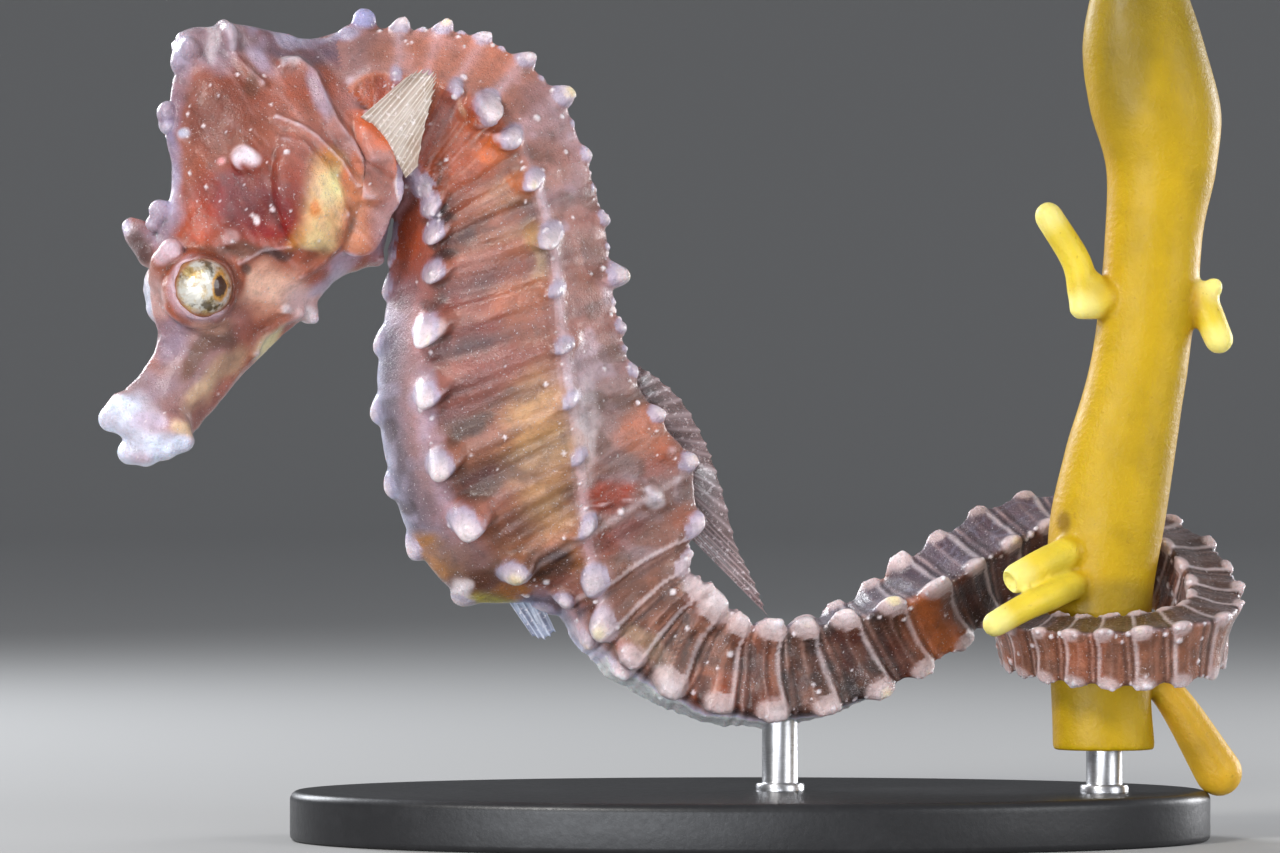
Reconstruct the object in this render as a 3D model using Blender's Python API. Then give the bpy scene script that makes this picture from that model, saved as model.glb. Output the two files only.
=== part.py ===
"""A short-snouted seahorse gripping a cut length of seaweed with its tail, on a plain display stand.

The animal faces -X with its left side towards -Y. The shapes are laid out in millimetres, in the animal's
own flat plane (X and Z) with Y across it, and the head is then turned a little towards its left side.
The origin is the centre of the underside of the stand's base. The last step scales the meshes to metres.
"""

import functools
import math

import bmesh
import bpy
import numpy as np

MM = 0.001
GAP = 0.3
HALF_GAP = GAP / 2

# Rings of bony plates: ring 0 is behind the gill covers, 11 the last of the trunk, 48 the tip of the tail.
NECK_START = -0.9
NECK_END = 3.5
TRUNK_END = 11.5
TAIL_CUTS = (17.5, 23.5, 29.5, 35.5, 41.5)
TAIL_START_RING = 15
TAIL_RINGS = 48

# Each row is ring, dorsal X and Z, ventral X and Z, half width.
TRUNK_ROWS = (
    (-0.9, -19.6, 40.4, -18.4, 32.4, 2.9),
    (0.0, -17.5, 40.5, -18.2, 32.0, 2.95),
    (2.0, -13.35, 40.05, -17.95, 31.2, 3.1),
    (4.0, -9.5, 37.1, -17.85, 30.1, 3.5),
    (6.0, -7.35, 31.1, -18.2, 27.6, 3.95),
    (8.0, -6.5, 25.7, -18.8, 21.4, 4.3),
    (9.0, -5.85, 23.5, -18.1, 17.65, 4.25),
    (10.0, -4.65, 21.35, -16.9, 14.6, 4.05),
    (11.0, -3.0, 19.0, -14.4, 11.9, 3.6),
    (12.0, -2.65, 15.9, -10.25, 11.7, 3.05),
    (13.0, -3.3, 14.1, -8.75, 9.75, 2.8),
    (14.0, -2.8, 12.75, -7.0, 8.0, 2.6),
    (15.0, -1.55, 11.65, -5.25, 6.85, 2.5),
)

# The tail's centre line from ring 15 to where it meets the seaweed: X, Y, Z.
TAIL_LINE = (
    (-3.4, 0.0, 9.25),
    (-1.65, 0.0, 8.45),
    (0.3, 0.0, 8.15),
    (2.5, 0.0, 8.3),
    (4.8, 0.0, 9.05),
    (6.7, 0.15, 10.1),
    (8.4, 0.45, 11.15),
    (10.1, 1.0, 12.55),
    (11.85, 1.65, 13.8),
    (13.6, 2.3, 14.65),
    (15.45, 2.85, 15.0),
)
# The coil round the seaweed: angle from +X in degrees, height of the centre line, and slack off the stem.
COIL_TURNS = (
    (88, 14.95, 0.5),
    (45, 13.75, 0.3),
    (15, 12.4, 0.45),
    (-15, 11.1, 1.05),
    (-45, 10.2, 1.8),
    (-70, 9.8, 1.3),
    (-95, 9.7, 0.7),
    (-135, 9.9, 0.35),
    (-180, 10.2, 0.25),
    (-225, 10.5, 0.05),
    (-270, 10.7, 0.0),
    (-300, 10.8, 0.0),
)
# The tail's half height by ring, its roll towards the animal's left, and half width over half height.
TAIL_HEIGHTS = ((15, 2.85), (16, 2.6), (17, 2.45), (18, 2.35), (19, 2.18), (20, 2.08), (22, 1.93), (25, 1.78),
                (30, 1.55), (34, 1.42), (38, 1.28), (41, 1.12), (44, 0.88), (46, 0.62), (48, 0.2))
TAIL_ROLLS = ((15, 0), (18, 2), (19, 8), (20, 17), (21, 27), (22, 32), (23, 32), (25, 20), (28, 0), (31, -14),
              (34, -20), (38, -20), (42, -14), (48, 0))
TAIL_FLATNESS = 0.84
COIL_CLEARANCE = 0.6
COIL_START_RING = 26
COIL_KNOTS = 27
# The rings get shorter along the tail, by this share at its tip.
RING_SHORTENING = 0.72
SHORTENING_POWER = 1.5

# Where the ridges run: ring, then the height fraction and width fraction of that ridge.
INFERIOR = ((-0.9, 0.24, 0.78), (4, 0.24, 0.76), (10, 0.23, 0.74), (11, 0.24, 0.72), (12, 0.13, 0.55),
            (14, 0.12, 0.5), (18, 0.04, 0.5), (48, 0.02, 0.5))
LATERAL = ((-0.9, 0.72, 1.0), (4, 0.72, 1.0), (7, 0.77, 1.0), (9, 0.75, 1.0), (10, 0.68, 1.0),
           (11, 0.53, 1.0), (12, 0.33, 0.98), (15, 0.24, 0.95), (18, 0.1, 0.9), (48, 0.08, 0.9))
SUPERIOR = ((-0.9, 1.0, 0.4), (10, 1.0, 0.42), (12, 1.0, 0.55), (13, 1.0, 0.74), (16, 1.0, 0.88),
            (48, 1.0, 0.9))

# How far the flanks swell between the ridges: ring and width fraction.
FLANK_BULGE = ((-0.9, 0.05), (9, 0.05), (13, 0.0), (20, -0.05))

# Sections a quarter of a ring apart. The rings' edges stand out as low ridges where there is room for them.
STATION = 0.25
RING_RELIEF = 0.13
FULL_RING_PACE = 1.1

# Blunt tubercles where the ridges cross the rings; some rings carry larger ones.
TUBERCLE_LENGTH = 0.62
TUBERCLE_RADIUS = 0.6
TUBERCLE_SHOULDER = 0.35
TUBERCLE_TILT = 0.35
# Each ridge's tubercles lean away from the keel and from the middle of the body.
TRUNK_LEANS = {"keel": (-1.0, 0.0), "inferior": (-0.45, 1.0), "lateral": (0.15, 1.0), "superior": (1.0, 0.4)}
TAIL_LEANS = {"lateral": (-0.7, 0.8), "superior": (0.9, 0.75)}
LARGE_RINGS = {0: 1.5, 3: 1.35, 4: 1.45, 7: 1.65, 11: 1.5, 15: 1.9, 19: 1.1, 22: 1.35, 26: 1.2, 30: 1.35,
               34: 1.3}
LAST_TUBERCLE_RING = 46

# The head, from the nape to the mouth. Each row is upper X and Z, lower X and Z, half width, and how far
# up from the lower edge the head is widest.
HEAD_ROWS = (
    (-19.9, 40.6, -18.45, 28.9, 3.0, 0.45),
    (-21.7, 40.1, -19.1, 28.6, 3.5, 0.42),
    (-23.9, 40.0, -20.4, 28.2, 3.7, 0.38),
    (-26.75, 39.65, -21.2, 27.6, 3.6, 0.38),
    (-29.05, 38.75, -21.7, 27.0, 3.35, 0.42),
    (-29.75, 35.6, -22.3, 26.3, 2.95, 0.5),
    (-29.85, 32.25, -22.9, 25.7, 2.6, 0.56),
    (-30.6, 29.1, -23.7, 25.0, 2.2, 0.62),
    (-30.35, 26.6, -24.7, 24.15, 1.8, 0.56),
    (-29.95, 24.8, -25.8, 23.2, 1.55, 0.5),
    (-30.8, 23.35, -26.8, 22.15, 1.45, 0.5),
    (-32.0, 22.2, -27.85, 21.0, 1.5, 0.5),
    (-32.95, 21.4, -28.3, 20.15, 1.65, 0.5),
    (-33.0, 20.8, -29.0, 19.4, 1.35, 0.5),
)
NAPE_ROW = 0.12
SNOUT_ROW = 8.4
SNOUT_HALF_GAP = 0.09
LAST_ROW = len(HEAD_ROWS) - 1
HEAD_TURN = math.radians(20)
TURN_X = -17.5
TURN_START_X = -16.5
TURN_FULL_X = -24.0

# The coronet: how far up the side of the head its edge lies, its flare and lift along the head's rows, and
# its points by row, side, lift and way.
CORONET_EDGE = 0.93
CORONET_ROWS = ((2.55, 1.0, 0.55), (2.85, 1.1, 0.8), (3.2, 1.2, 0.75), (3.6, 1.25, 0.85), (3.95, 1.2, 1.15))
CORONET_POINTS = ((3.85, 1, 1.0, (-0.6, -1, 0.7)), (3.85, -1, 1.0, (-0.6, 1, 0.7)),
                  (3.0, 1, 0.7, (0, -1.2, 0.7)), (3.0, -1, 0.7, (0, 1.2, 0.7)), (2.65, 0, 0.4, (1, 0, 0.6)))

EYE_CENTRE = (-28.6, 1.65, 27.65)
EYE_RADIUS = 1.7
ORBIT_RADIUS = 2.15
# Rows and heights on the head of the rim behind the gill cover, and of the two nostrils of a side.
GILL_RIM = ((1.9, 0.86), (1.45, 0.72), (1.0, 0.58), (0.6, 0.44))
NOSTRILS = ((7.75, 0.86), (7.95, 0.74))

# The left side's blunt spines over the eye, on the cheek, jaw angle, brow and throat: foot, way, length and
# radius.
HEAD_SPINES = (
    ((-30.1, -1.7, 29.3), (-0.6, -1.6, 0.95), 2.3, 0.75),
    ((-26.85, -3.0, 34.1), (-0.1, -1.0, 0.1), 0.95, 0.62),
    ((-23.1, -1.5, 26.4), (0.55, -0.6, -0.75), 0.95, 0.6),
    ((-29.4, -1.1, 36.3), (-1.0, -0.5, 0.2), 0.6, 0.5),
    ((-19.4, -2.3, 32.2), (0.3, -1.0, -0.3), 0.8, 0.6),
    ((-19.6, -1.0, 29.4), (0.3, -0.7, -0.8), 0.7, 0.5),
)
# The lips: centre, and three vectors from it to the surface.
LIPS = (
    ((-32.2, 0, 20.85), ((0.95, 0, -0.2), (0, 1.35, 0), (0.1, 0, 0.75))),
    ((-30.4, 0, 19.6), ((1.65, 0, 0.2), (0, 1.25, 0), (-0.1, 0, 0.85))),
)

# Fins: the rings along the back where the dorsal fin is rooted, the edges of all, and the roots of the rest.
DORSAL_ROOT_RINGS = (9.1, 9.9, 10.7, 11.5, 12.1)
DORSAL_EDGE = ((-4.8, 0, 23.4), (-2.9, 0.1, 21.2), (-1.7, 0.15, 18.3), (-0.8, 0.1, 14.9), (0.8, 0, 11.9))
ANAL_ROOT = ((-12.15, 0, 11.05), (-11.5, 0, 11.1), (-10.85, 0, 11.15))
ANAL_EDGE = ((-10.95, -0.2, 10.0), (-10.5, -0.25, 9.95), (-9.75, -0.2, 10.75))
# The pectoral fins: row and height on the head of the root, and the edge on the left side.
PECTORAL_ROOT = ((0.75, 0.66), (0.55, 0.55), (0.35, 0.42), (0.2, 0.32))
PECTORAL_PROUD = 0.62
PECTORAL_EDGE = ((-18.9, -4.9, 38.4), (-17.4, -5.2, 38.1), (-17.35, -5.0, 36.3), (-17.9, -4.4, 33.9))
BACK_OF_BODY = 0.965

# The seaweed: Z, centre X, half width, from its cut foot to its cut top.
STEM_ROWS = ((4.6, 17.6, 2.6), (7.5, 17.45, 2.5), (12.0, 17.4, 2.6), (16.0, 17.78, 2.88),
             (19.5, 18.42, 2.75), (23.5, 19.28, 2.48), (27.5, 19.83, 2.45), (30.5, 20.08, 2.42),
             (33.5, 20.42, 2.75), (36.5, 20.12, 3.27), (39.5, 19.57, 3.08), (43.0, 19.27, 2.2))
STEM_Y = -1.6
STEM_DEPTH = 0.76
# Its side shoots: points along each, and the radius at each point.
SHOOTS = (
    (((17.6, -2.4, 27.0), (16.6, -2.7, 26.7), (16.2, -2.7, 28.6), (14.75, -2.9, 31.1)),
     (0.9, 0.8, 0.85, 0.35)),
    (((16.9, -2.6, 27.6), (16.4, -2.9, 26.6)), (0.8, 0.5)),
    (((22.0, -1.8, 27.2), (22.4, -2.0, 27.0), (23.3, -2.2, 24.8)), (0.6, 0.85, 0.4)),
    (((22.3, -1.9, 26.9), (23.0, -2.1, 27.6)), (0.6, 0.4)),
    (((16.4, -3.0, 14.4), (14.4, -4.3, 13.6), (12.9, -4.9, 12.9)), (0.9, 0.95, 0.6)),
    (((16.2, -3.0, 13.2), (14.7, -4.9, 12.6), (13.3, -5.8, 11.95), (11.8, -6.7, 11.0)),
     (0.7, 0.7, 0.66, 0.5)),
    (((18.4, -1.1, 9.0), (20.8, -0.6, 7.4), (23.4, -0.4, 3.4)), (0.6, 0.85, 1.2)),
)

BASE_LENGTH = 46.0
BASE_WIDTH = 25.0
BASE_HEIGHT = 2.5
BASE_EDGE = 0.4
ROD_RADIUS = 0.9
TAIL_ROD_X = 1.5
# From the tail's centre line down to the tips of the tubercles that the rod must clear.
TAIL_ROD_DROP = 2.9


def spline(rows, at):
    """A smooth curve through rows of (parameter, values...), read at one parameter or an array of them."""
    rows = np.asarray(rows, float)
    knots, values = rows[:, 0], rows[:, 1:]
    at = np.atleast_1d(np.asarray(at, float))
    slopes = np.gradient(values, knots, axis=0)
    i = np.clip(np.searchsorted(knots, at, side="right") - 1, 0, len(knots) - 2)
    step = (knots[i + 1] - knots[i])[:, None]
    s = ((np.clip(at, knots[0], knots[-1]) - knots[i])[:, None]) / step
    return ((2 * s**3 - 3 * s**2 + 1) * values[i] + (s**3 - 2 * s**2 + s) * step * slopes[i]
            + (3 * s**2 - 2 * s**3) * values[i + 1] + (s**3 - s**2) * step * slopes[i + 1])


def blend(rows, at):
    """Straight-line reading of rows of (parameter, value)."""
    rows = np.asarray(rows, float)
    return np.interp(at, rows[:, 0], rows[:, 1])


def ease(share):
    share = min(1.0, max(0.0, share))
    return share * share * (3 - 2 * share)


def unit(vector):
    vector = np.asarray(vector, float)
    return vector / np.linalg.norm(vector)


def turned(points):
    """Points bent towards the animal's left about a vertical line through the neck, fully on the head."""
    points = np.array(points, float)
    share = np.clip((TURN_START_X - points[..., 0]) / (TURN_START_X - TURN_FULL_X), 0, 1)
    angle = HEAD_TURN * share * share * (3 - 2 * share)
    x, y = points[..., 0] - TURN_X, points[..., 1].copy()
    points[..., 0] = TURN_X + x * np.cos(angle) - y * np.sin(angle)
    points[..., 1] = x * np.sin(angle) + y * np.cos(angle)
    return points


def turned_way(way, at):
    """A direction at a place, bent with it."""
    at = np.asarray(at, float)
    return (turned(at + 0.01 * np.asarray(way, float)) - turned(at)) / 0.01


def stem_at(z):
    """Centre X and half width of the seaweed at a height."""
    return spline(STEM_ROWS, z)[0]


def tail_half_height(ring):
    return float(blend(TAIL_HEIGHTS, ring))


def coil_point(angle, height, slack, ring):
    """A point of the tail's centre line where it wraps the seaweed."""
    centre, half = stem_at(height)
    clear = tail_half_height(ring) * TAIL_FLATNESS + COIL_CLEARANCE + slack
    turn = math.radians(angle)
    return (centre + (half + clear) * math.cos(turn),
            STEM_Y + (half * STEM_DEPTH + clear) * math.sin(turn), height)


def tail_centre_line():
    """Points 0.1 mm or so apart along the tail, and the ring number of each."""
    angles = np.linspace(COIL_TURNS[0][0], COIL_TURNS[-1][0], COIL_KNOTS)
    heights = spline([(-a, h, slack) for a, h, slack in COIL_TURNS], -angles)
    rings = np.linspace(COIL_START_RING, TAIL_RINGS, len(angles))
    wrap = [coil_point(a, *h, r) for a, h, r in zip(angles, heights, rings)]
    knots = np.array(list(TAIL_LINE) + wrap)
    chord = np.concatenate([[0], np.cumsum(np.linalg.norm(np.diff(knots, axis=0), axis=1))])
    line = spline(np.column_stack([chord, knots]), np.linspace(0, chord[-1], 700))
    run = np.concatenate([[0], np.cumsum(np.linalg.norm(np.diff(line, axis=0), axis=1))])
    share = np.linspace(0, 1, 400)
    pace = 1 - RING_SHORTENING * share**SHORTENING_POWER
    travelled = np.concatenate([[0], np.cumsum((pace[1:] + pace[:-1]) / 2)])
    travelled *= run[-1] / travelled[-1]
    ring = np.interp(run, travelled, TAIL_START_RING + share * (TAIL_RINGS - TAIL_START_RING))
    return ring, line


TAIL_RING, TAIL_POINTS = tail_centre_line()


def tail_frame(ring):
    """Centre, dorsal half vector and unit vector to the animal's left, along the tail."""
    def at(r):
        return np.array([np.interp(r, TAIL_RING, TAIL_POINTS[:, k]) for k in range(3)])

    along = unit(at(min(ring + 0.3, TAIL_RINGS)) - at(ring - 0.3))
    up = unit(np.array([0, 0, 1.0]) - along[2] * along)
    left = np.cross(along, up)
    roll = math.radians(float(spline(TAIL_ROLLS, ring)[0, 0]))
    dorsal = up * math.cos(roll) + left * math.sin(roll)
    left = np.cross(along, dorsal)
    return at(ring), dorsal * tail_half_height(ring), left


@functools.cache
def body_frame(ring):
    """Centre, dorsal half vector, left unit vector and half width of the body at any ring."""
    row = spline(TRUNK_ROWS, min(ring, TAIL_START_RING))[0]
    dorsal, ventral, width = np.array([row[0], 0, row[1]]), np.array([row[2], 0, row[3]]), row[4]
    centre, half, left = (dorsal + ventral) / 2, (dorsal - ventral) / 2, np.array([0, -1.0, 0])
    if ring > TAIL_START_RING - 1:
        share = ease(ring - TAIL_START_RING + 1)
        tail_centre, tail_half, tail_left = tail_frame(max(ring, TAIL_START_RING))
        if ring < TAIL_START_RING:
            tail_centre = tail_centre + (centre - body_frame_at_join())
        centre = centre * (1 - share) + tail_centre * share
        half = half * (1 - share) + tail_half * share
        left = unit(left * (1 - share) + tail_left * share)
        width = width * (1 - share) + tail_half_height(max(ring, TAIL_START_RING)) * TAIL_FLATNESS * share
    return centre, half, left, width


def body_frame_at_join():
    row = spline(TRUNK_ROWS, TAIL_START_RING)[0]
    return np.array([(row[0] + row[2]) / 2, 0, (row[1] + row[3]) / 2])


def girth(ring):
    """How much smaller than the trunk's the rings and tubercles are."""
    return 1.0 if ring <= 16 else tail_half_height(ring) / tail_half_height(16)


def outline(ring, anchors, ridges):
    """One side of a section, keel to back: height and width fractions, and the ridge that the point tops."""
    places = {"keel": np.zeros(2), "back": np.array([BACK_OF_BODY, 0.0])}
    for name, rows in (("inferior", INFERIOR), ("lateral", LATERAL), ("superior", SUPERIOR)):
        places[name] = spline(rows, ring)[0]
    _, half, _, half_width = body_frame(ring)
    size = np.array([2 * np.linalg.norm(half), half_width])
    bulge = blend(FLANK_BULGE, ring)
    rows = []
    for name, following in zip(anchors, anchors[1:]):
        a, b = places[name], places[following]
        foot = min(0.3, TUBERCLE_RADIUS * girth(ring) / np.linalg.norm((b - a) * size))
        shares = [foot] if name in ridges else []
        if name in ridges and following in ridges and name != "keel":
            shares.append(0.5)
        if following in ridges:
            shares.append(1 - foot)
        rows.append((a, name if name in ridges else None))
        for share in shares:
            rows.append((a * (1 - share) + b * share + (0, 4 * share * (1 - share) * bulge), None))
    rows.append((places[anchors[-1]], None))
    return rows


def plain_point(ring, place, side):
    """A point of the body without relief; side is 1 for the animal's left and -1 for its right."""
    centre, half, left, half_width = body_frame(ring)
    return centre + half * (2 * place[0] - 1) + left * side * place[1] * half_width


def skin_point(ring, place, ridge, side):
    """A point of the skin: each ring stands out as a low edge, and its ridges carry blunt tubercles there."""
    _, half, left, half_width = body_frame(ring)
    point = plain_point(ring, place, side)
    out = unit(half * (2 * place[0] - 1) / (half @ half) + left * side * place[1] / half_width)
    step = plain_point(ring + STATION, place, side) - plain_point(ring - STATION, place, side)
    room = min(1.0, np.linalg.norm(step) / (2 * STATION) / FULL_RING_PACE) * girth(ring)
    point = point + out * RING_RELIEF * room * math.cos(2 * math.pi * ring)
    if ridge:
        peak = max(TUBERCLE_SHOULDER, 1 - (1 - TUBERCLE_SHOULDER) * abs(ring - round(ring)) / STATION)
        peak *= abs(ring - round(ring)) < 2 * STATION - 0.01
        point = point + tubercle(ring, ridge, side) * peak * room
    return turned(point) if ring <= NECK_END else point


def tubercle(ring, ridge, side):
    """The way and length of the tubercle of one ridge on the nearest ring."""
    nearest = round(ring)
    if nearest > LAST_TUBERCLE_RING:
        return np.zeros(3)
    _, half, left, _ = body_frame(ring)
    lean = (TRUNK_LEANS if ring < TAIL_START_RING - 3 else TAIL_LEANS)[ridge]
    ahead = unit(body_frame(ring + STATION)[0] - body_frame(ring - STATION)[0])
    way = unit(unit(half) * lean[0] + left * side * lean[1]) + TUBERCLE_TILT * ahead
    size = 1 + 0.15 * math.sin(12.9 * nearest + 4.1 * side + len(ridge))
    facing_stem = ring > COIL_START_RING - 1 and side == 1
    size *= 0.5 if facing_stem or ridge == "keel" else LARGE_RINGS.get(nearest, 1.0)
    return way * TUBERCLE_LENGTH * size


def body_section(ring, anchors, ridges):
    rows = outline(ring, anchors, ridges)
    loop = [skin_point(ring, place, ridge, 1) for place, ridge in rows]
    loop += [skin_point(ring, place, ridge, -1) for place, ridge in reversed(rows[1:-1])]
    return np.array(loop)


def head_frame(row):
    values = spline(np.column_stack([np.arange(len(HEAD_ROWS)), HEAD_ROWS]), row)[0]
    return np.array([values[0], 0, values[1]]), np.array([values[2], 0, values[3]]), values[4], values[5]


def head_point(row, height, side, proud=0.0):
    """A point of the head's side before the head is turned, pushed out by proud."""
    upper, lower, width, peak = head_frame(row)
    power = math.log(0.5) / math.log(peak)
    out = width * math.sin(math.pi * min(1.0, max(0.0, height)) ** power) ** 0.62 if 0 < height < 1 else 0.0
    point = lower + (upper - lower) * height
    point[1] = -side * (out + proud)
    return point


def head_section(row, count):
    heights = [(1 - math.cos(math.pi * i / count)) / 2 for i in range(count + 1)]
    loop = [head_point(row, h, 1) for h in heights]
    loop += [head_point(row, h, -1) for h in reversed(heights[1:-1])]
    return turned(loop)


# Mesh making

MODEL = bpy.data.collections.new("seahorse")
SCRATCH = bpy.data.collections.new("scratch")


def loft(name, sections):
    """A closed skin through loops of points that all have the same count."""
    work = bmesh.new()
    rings = [[work.verts.new(p) for p in section] for section in sections]
    count = len(rings[0])
    for a, b in zip(rings, rings[1:]):
        for i in range(count):
            j = (i + 1) % count
            work.faces.new((a[i], a[j], b[j], b[i]))
    for ring in (rings[0], rings[-1]):
        middle = work.verts.new(np.mean([v.co for v in ring], axis=0))
        for i in range(count):
            work.faces.new((ring[i], ring[(i + 1) % count], middle))
    bmesh.ops.recalc_face_normals(work, faces=work.faces)
    return finish_mesh(name, work)


def finish_mesh(name, work):
    mesh = bpy.data.meshes.new(name)
    work.to_mesh(mesh)
    work.free()
    thing = bpy.data.objects.new(name, mesh)
    SCRATCH.objects.link(thing)
    return thing


def square_axes(along):
    along = unit(along)
    other = np.array([0, 1.0, 0]) if abs(along[1]) < 0.8 else np.array([1.0, 0, 0])
    first = unit(np.cross(along, other))
    return first, np.cross(along, first)


def tube(name, points, radii, sides=8):
    """A round-ended rod through points, with a radius at each."""
    points = [np.asarray(p, float) for p in points]
    sections = []
    for i, (p, r) in enumerate(zip(points, radii)):
        along = points[min(i + 1, len(points) - 1)] - points[max(i - 1, 0)]
        first, second = square_axes(along)
        sections.append([p + r * (first * math.cos(a) + second * math.sin(a))
                         for a in np.linspace(0, 2 * math.pi, sides, endpoint=False)])
    return loft(name, sections)


def knob(name, foot, way, length, radius, sides=6, sink=0.45):
    """A blunt cone that stands on a surface point, with its root sunk in."""
    way = unit(way)
    foot = np.asarray(foot, float)
    steps = ((-sink * radius, 1.05), (0.3 * length, 0.86), (0.78 * length, 0.6), (length, 0.2))
    return tube(name, [foot + way * d for d, _ in steps], [radius * r for _, r in steps], sides)


def ellipsoid(name, centre, axes, segments=14, rings=8):
    """An egg shape: axes are three vectors, each from the centre to the surface."""
    work = bmesh.new()
    bmesh.ops.create_uvsphere(work, u_segments=segments, v_segments=rings, radius=1.0)
    frame = np.array(axes, float).T
    for v in work.verts:
        v.co = np.asarray(centre, float) + frame @ np.array(v.co)
    bmesh.ops.recalc_face_normals(work, faces=work.faces)
    return finish_mesh(name, work)


def body_of(node, pieces, cutters=()):
    """Joins pieces into one closed node, cuts it, and keeps its largest surface."""
    first = pieces[0]
    for operation, others in (("UNION", pieces[1:]), ("DIFFERENCE", list(cutters))):
        if not others:
            continue
        group = bpy.data.collections.new(node + operation.lower())
        bpy.context.scene.collection.children.link(group)
        for other in others:
            SCRATCH.objects.unlink(other)
            group.objects.link(other)
        change = first.modifiers.new(operation, "BOOLEAN")
        change.operation = operation
        change.operand_type = "COLLECTION"
        change.collection = group
        change.solver = "EXACT"
        graph = bpy.context.evaluated_depsgraph_get()
        mesh = bpy.data.meshes.new_from_object(first.evaluated_get(graph))
        first.modifiers.clear()
        first.data = mesh
        for other in others:
            bpy.data.objects.remove(other)
        bpy.data.collections.remove(group)
    keep_largest(first.data)
    first.name = node
    SCRATCH.objects.unlink(first)
    MODEL.objects.link(first)
    return first


def keep_largest(mesh):
    """Drops every loose shell but the one that spans the most."""
    work = bmesh.new()
    work.from_mesh(mesh)
    bmesh.ops.remove_doubles(work, verts=work.verts, dist=0.001)
    left, shells = set(work.verts), []
    while left:
        shell, front = set(), [left.pop()]
        while front:
            vertex = front.pop()
            shell.add(vertex)
            for edge in vertex.link_edges:
                other = edge.other_vert(vertex)
                if other in left:
                    left.remove(other)
                    front.append(other)
        shells.append(shell)
    largest = max(shells, key=len)
    extra = [v for v in work.verts if v not in largest]
    bmesh.ops.delete(work, geom=extra, context="VERTS")
    bmesh.ops.triangulate(work, faces=work.faces)
    work.to_mesh(mesh)
    work.free()


# Neck, trunk and tail

def body_length(name, first, last, anchors, ridges):
    """One length of the body between two cuts, each set back by half the parting gap."""
    start = math.ceil((first + (0.4 if first == NECK_END else 0.15)) / STATION)
    stop = math.floor((last - (0.4 if last == NECK_END else 0.15)) / STATION)
    sections = [body_section(k * STATION, anchors, ridges) for k in range(start, stop + 1)]
    for ring, sign in ((first, 1), (last, -1)):
        _, half, left, _ = body_frame(ring)
        along = unit(body_frame(ring + STATION)[0] - body_frame(ring - STATION)[0])
        face = unit(np.cross(half, left))
        set_back = 0 if ring in (NECK_START, TAIL_RINGS) else sign * HALF_GAP * np.sign(face @ along)
        end = body_section(ring, anchors, ridges) + face * set_back
        sections.insert(0 if sign == 1 else len(sections), end)
    return body_of(name, [loft(name + "_skin", sections)])


def body_lengths():
    every = ("keel", "inferior", "lateral", "superior", "back")
    tail = ("keel", "lateral", "superior", "back")
    body_length("neck", NECK_START, NECK_END, every, every[:-1])
    body_length("trunk", NECK_END, TRUNK_END, every, every[:-1])
    body_length("tail_base", TRUNK_END, TAIL_CUTS[0], every, tail[1:-1])
    cuts = [*TAIL_CUTS, TAIL_RINGS]
    names = ("tail_middle", "tail_behind_stem", "tail_right_turn", "tail_front_turn", "tail_tip")
    for name, first, last in zip(names, cuts, cuts[1:]):
        body_length(name, first, last, tail, tail[1:-1])


# Head

def eye_centre(side):
    return turned((EYE_CENTRE[0], -side * EYE_CENTRE[1], EYE_CENTRE[2]))


def sphere_axes(radius):
    return np.eye(3) * radius


def head():
    rows = [NAPE_ROW, *np.arange(0.5, SNOUT_ROW - 0.3, 0.5), SNOUT_ROW - SNOUT_HALF_GAP]
    pieces = [loft("head_skin", [head_section(r, 11) for r in rows])]
    cutters = []
    for side in (1, -1):
        rim = [head_point(row, height, side, 0.02) for row, height in GILL_RIM]
        pieces.append(tube("gill_rim", turned(rim), (0.3, 0.5, 0.5, 0.3), 6))
        pieces += [gill_cover(side), *head_spines(side)]
        inward = turned_way((0, side * 0.45, 0), EYE_CENTRE)
        pieces.append(ellipsoid("orbit", eye_centre(side) + inward, sphere_axes(ORBIT_RADIUS), 16, 10))
        cutters.append(ellipsoid("socket", eye_centre(side), sphere_axes(EYE_RADIUS + GAP), 16, 10))
        for row, height in NOSTRILS:
            pit = head_point(row, height, side, 0.1)
            cutters.append(knob("nostril", turned(pit), turned_way((0, side, 0), pit), 0.7, 0.22, 5))
    body_of("head", pieces, cutters)
    for side, name in ((1, "eye_left"), (-1, "eye_right")):
        body_of(name, [ellipsoid(name + "_ball", eye_centre(side), sphere_axes(EYE_RADIUS), 16, 12)])


def gill_cover(side):
    """The swollen gill cover."""
    centre = (-22.7, -side * 2.9, 32.6)
    axes = ((2.3, side * 0.2, 0.6), (0, -side * 1.15, 0), (-0.6, 0, 3.1))
    return ellipsoid("gill_cover", turned(centre), [turned_way(a, centre) for a in axes], 16, 10)


def head_spines(side):
    mirror = np.array([1, side, 1])
    spines = [(foot * mirror, way * mirror, length, radius) for foot, way, length, radius in HEAD_SPINES]
    return [knob("spine", turned(foot), turned_way(way, foot), length, radius, 6, 0.8)
            for foot, way, length, radius in spines]


def snout():
    rows = [SNOUT_ROW + SNOUT_HALF_GAP, *np.arange(9.0, LAST_ROW + 0.1, 0.5)]
    pieces = [loft("snout_skin", [head_section(r, 8) for r in rows])]
    for centre, axes in LIPS:
        pieces.append(ellipsoid("lip", turned(centre), [turned_way(a, centre) for a in axes], 12, 8))
    mouth = loft("mouth_line", [turned(s) for s in (
        [(-32.6, -2.2, 20.15), (-32.6, 2.2, 20.15), (-33.4, 2.2, 19.55), (-33.4, -2.2, 19.55)],
        [(-31.3, -2.2, 20.35), (-31.3, 2.2, 20.35), (-31.28, 2.2, 20.25), (-31.28, -2.2, 20.25)])])
    body_of("snout", pieces, [mouth])


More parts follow.
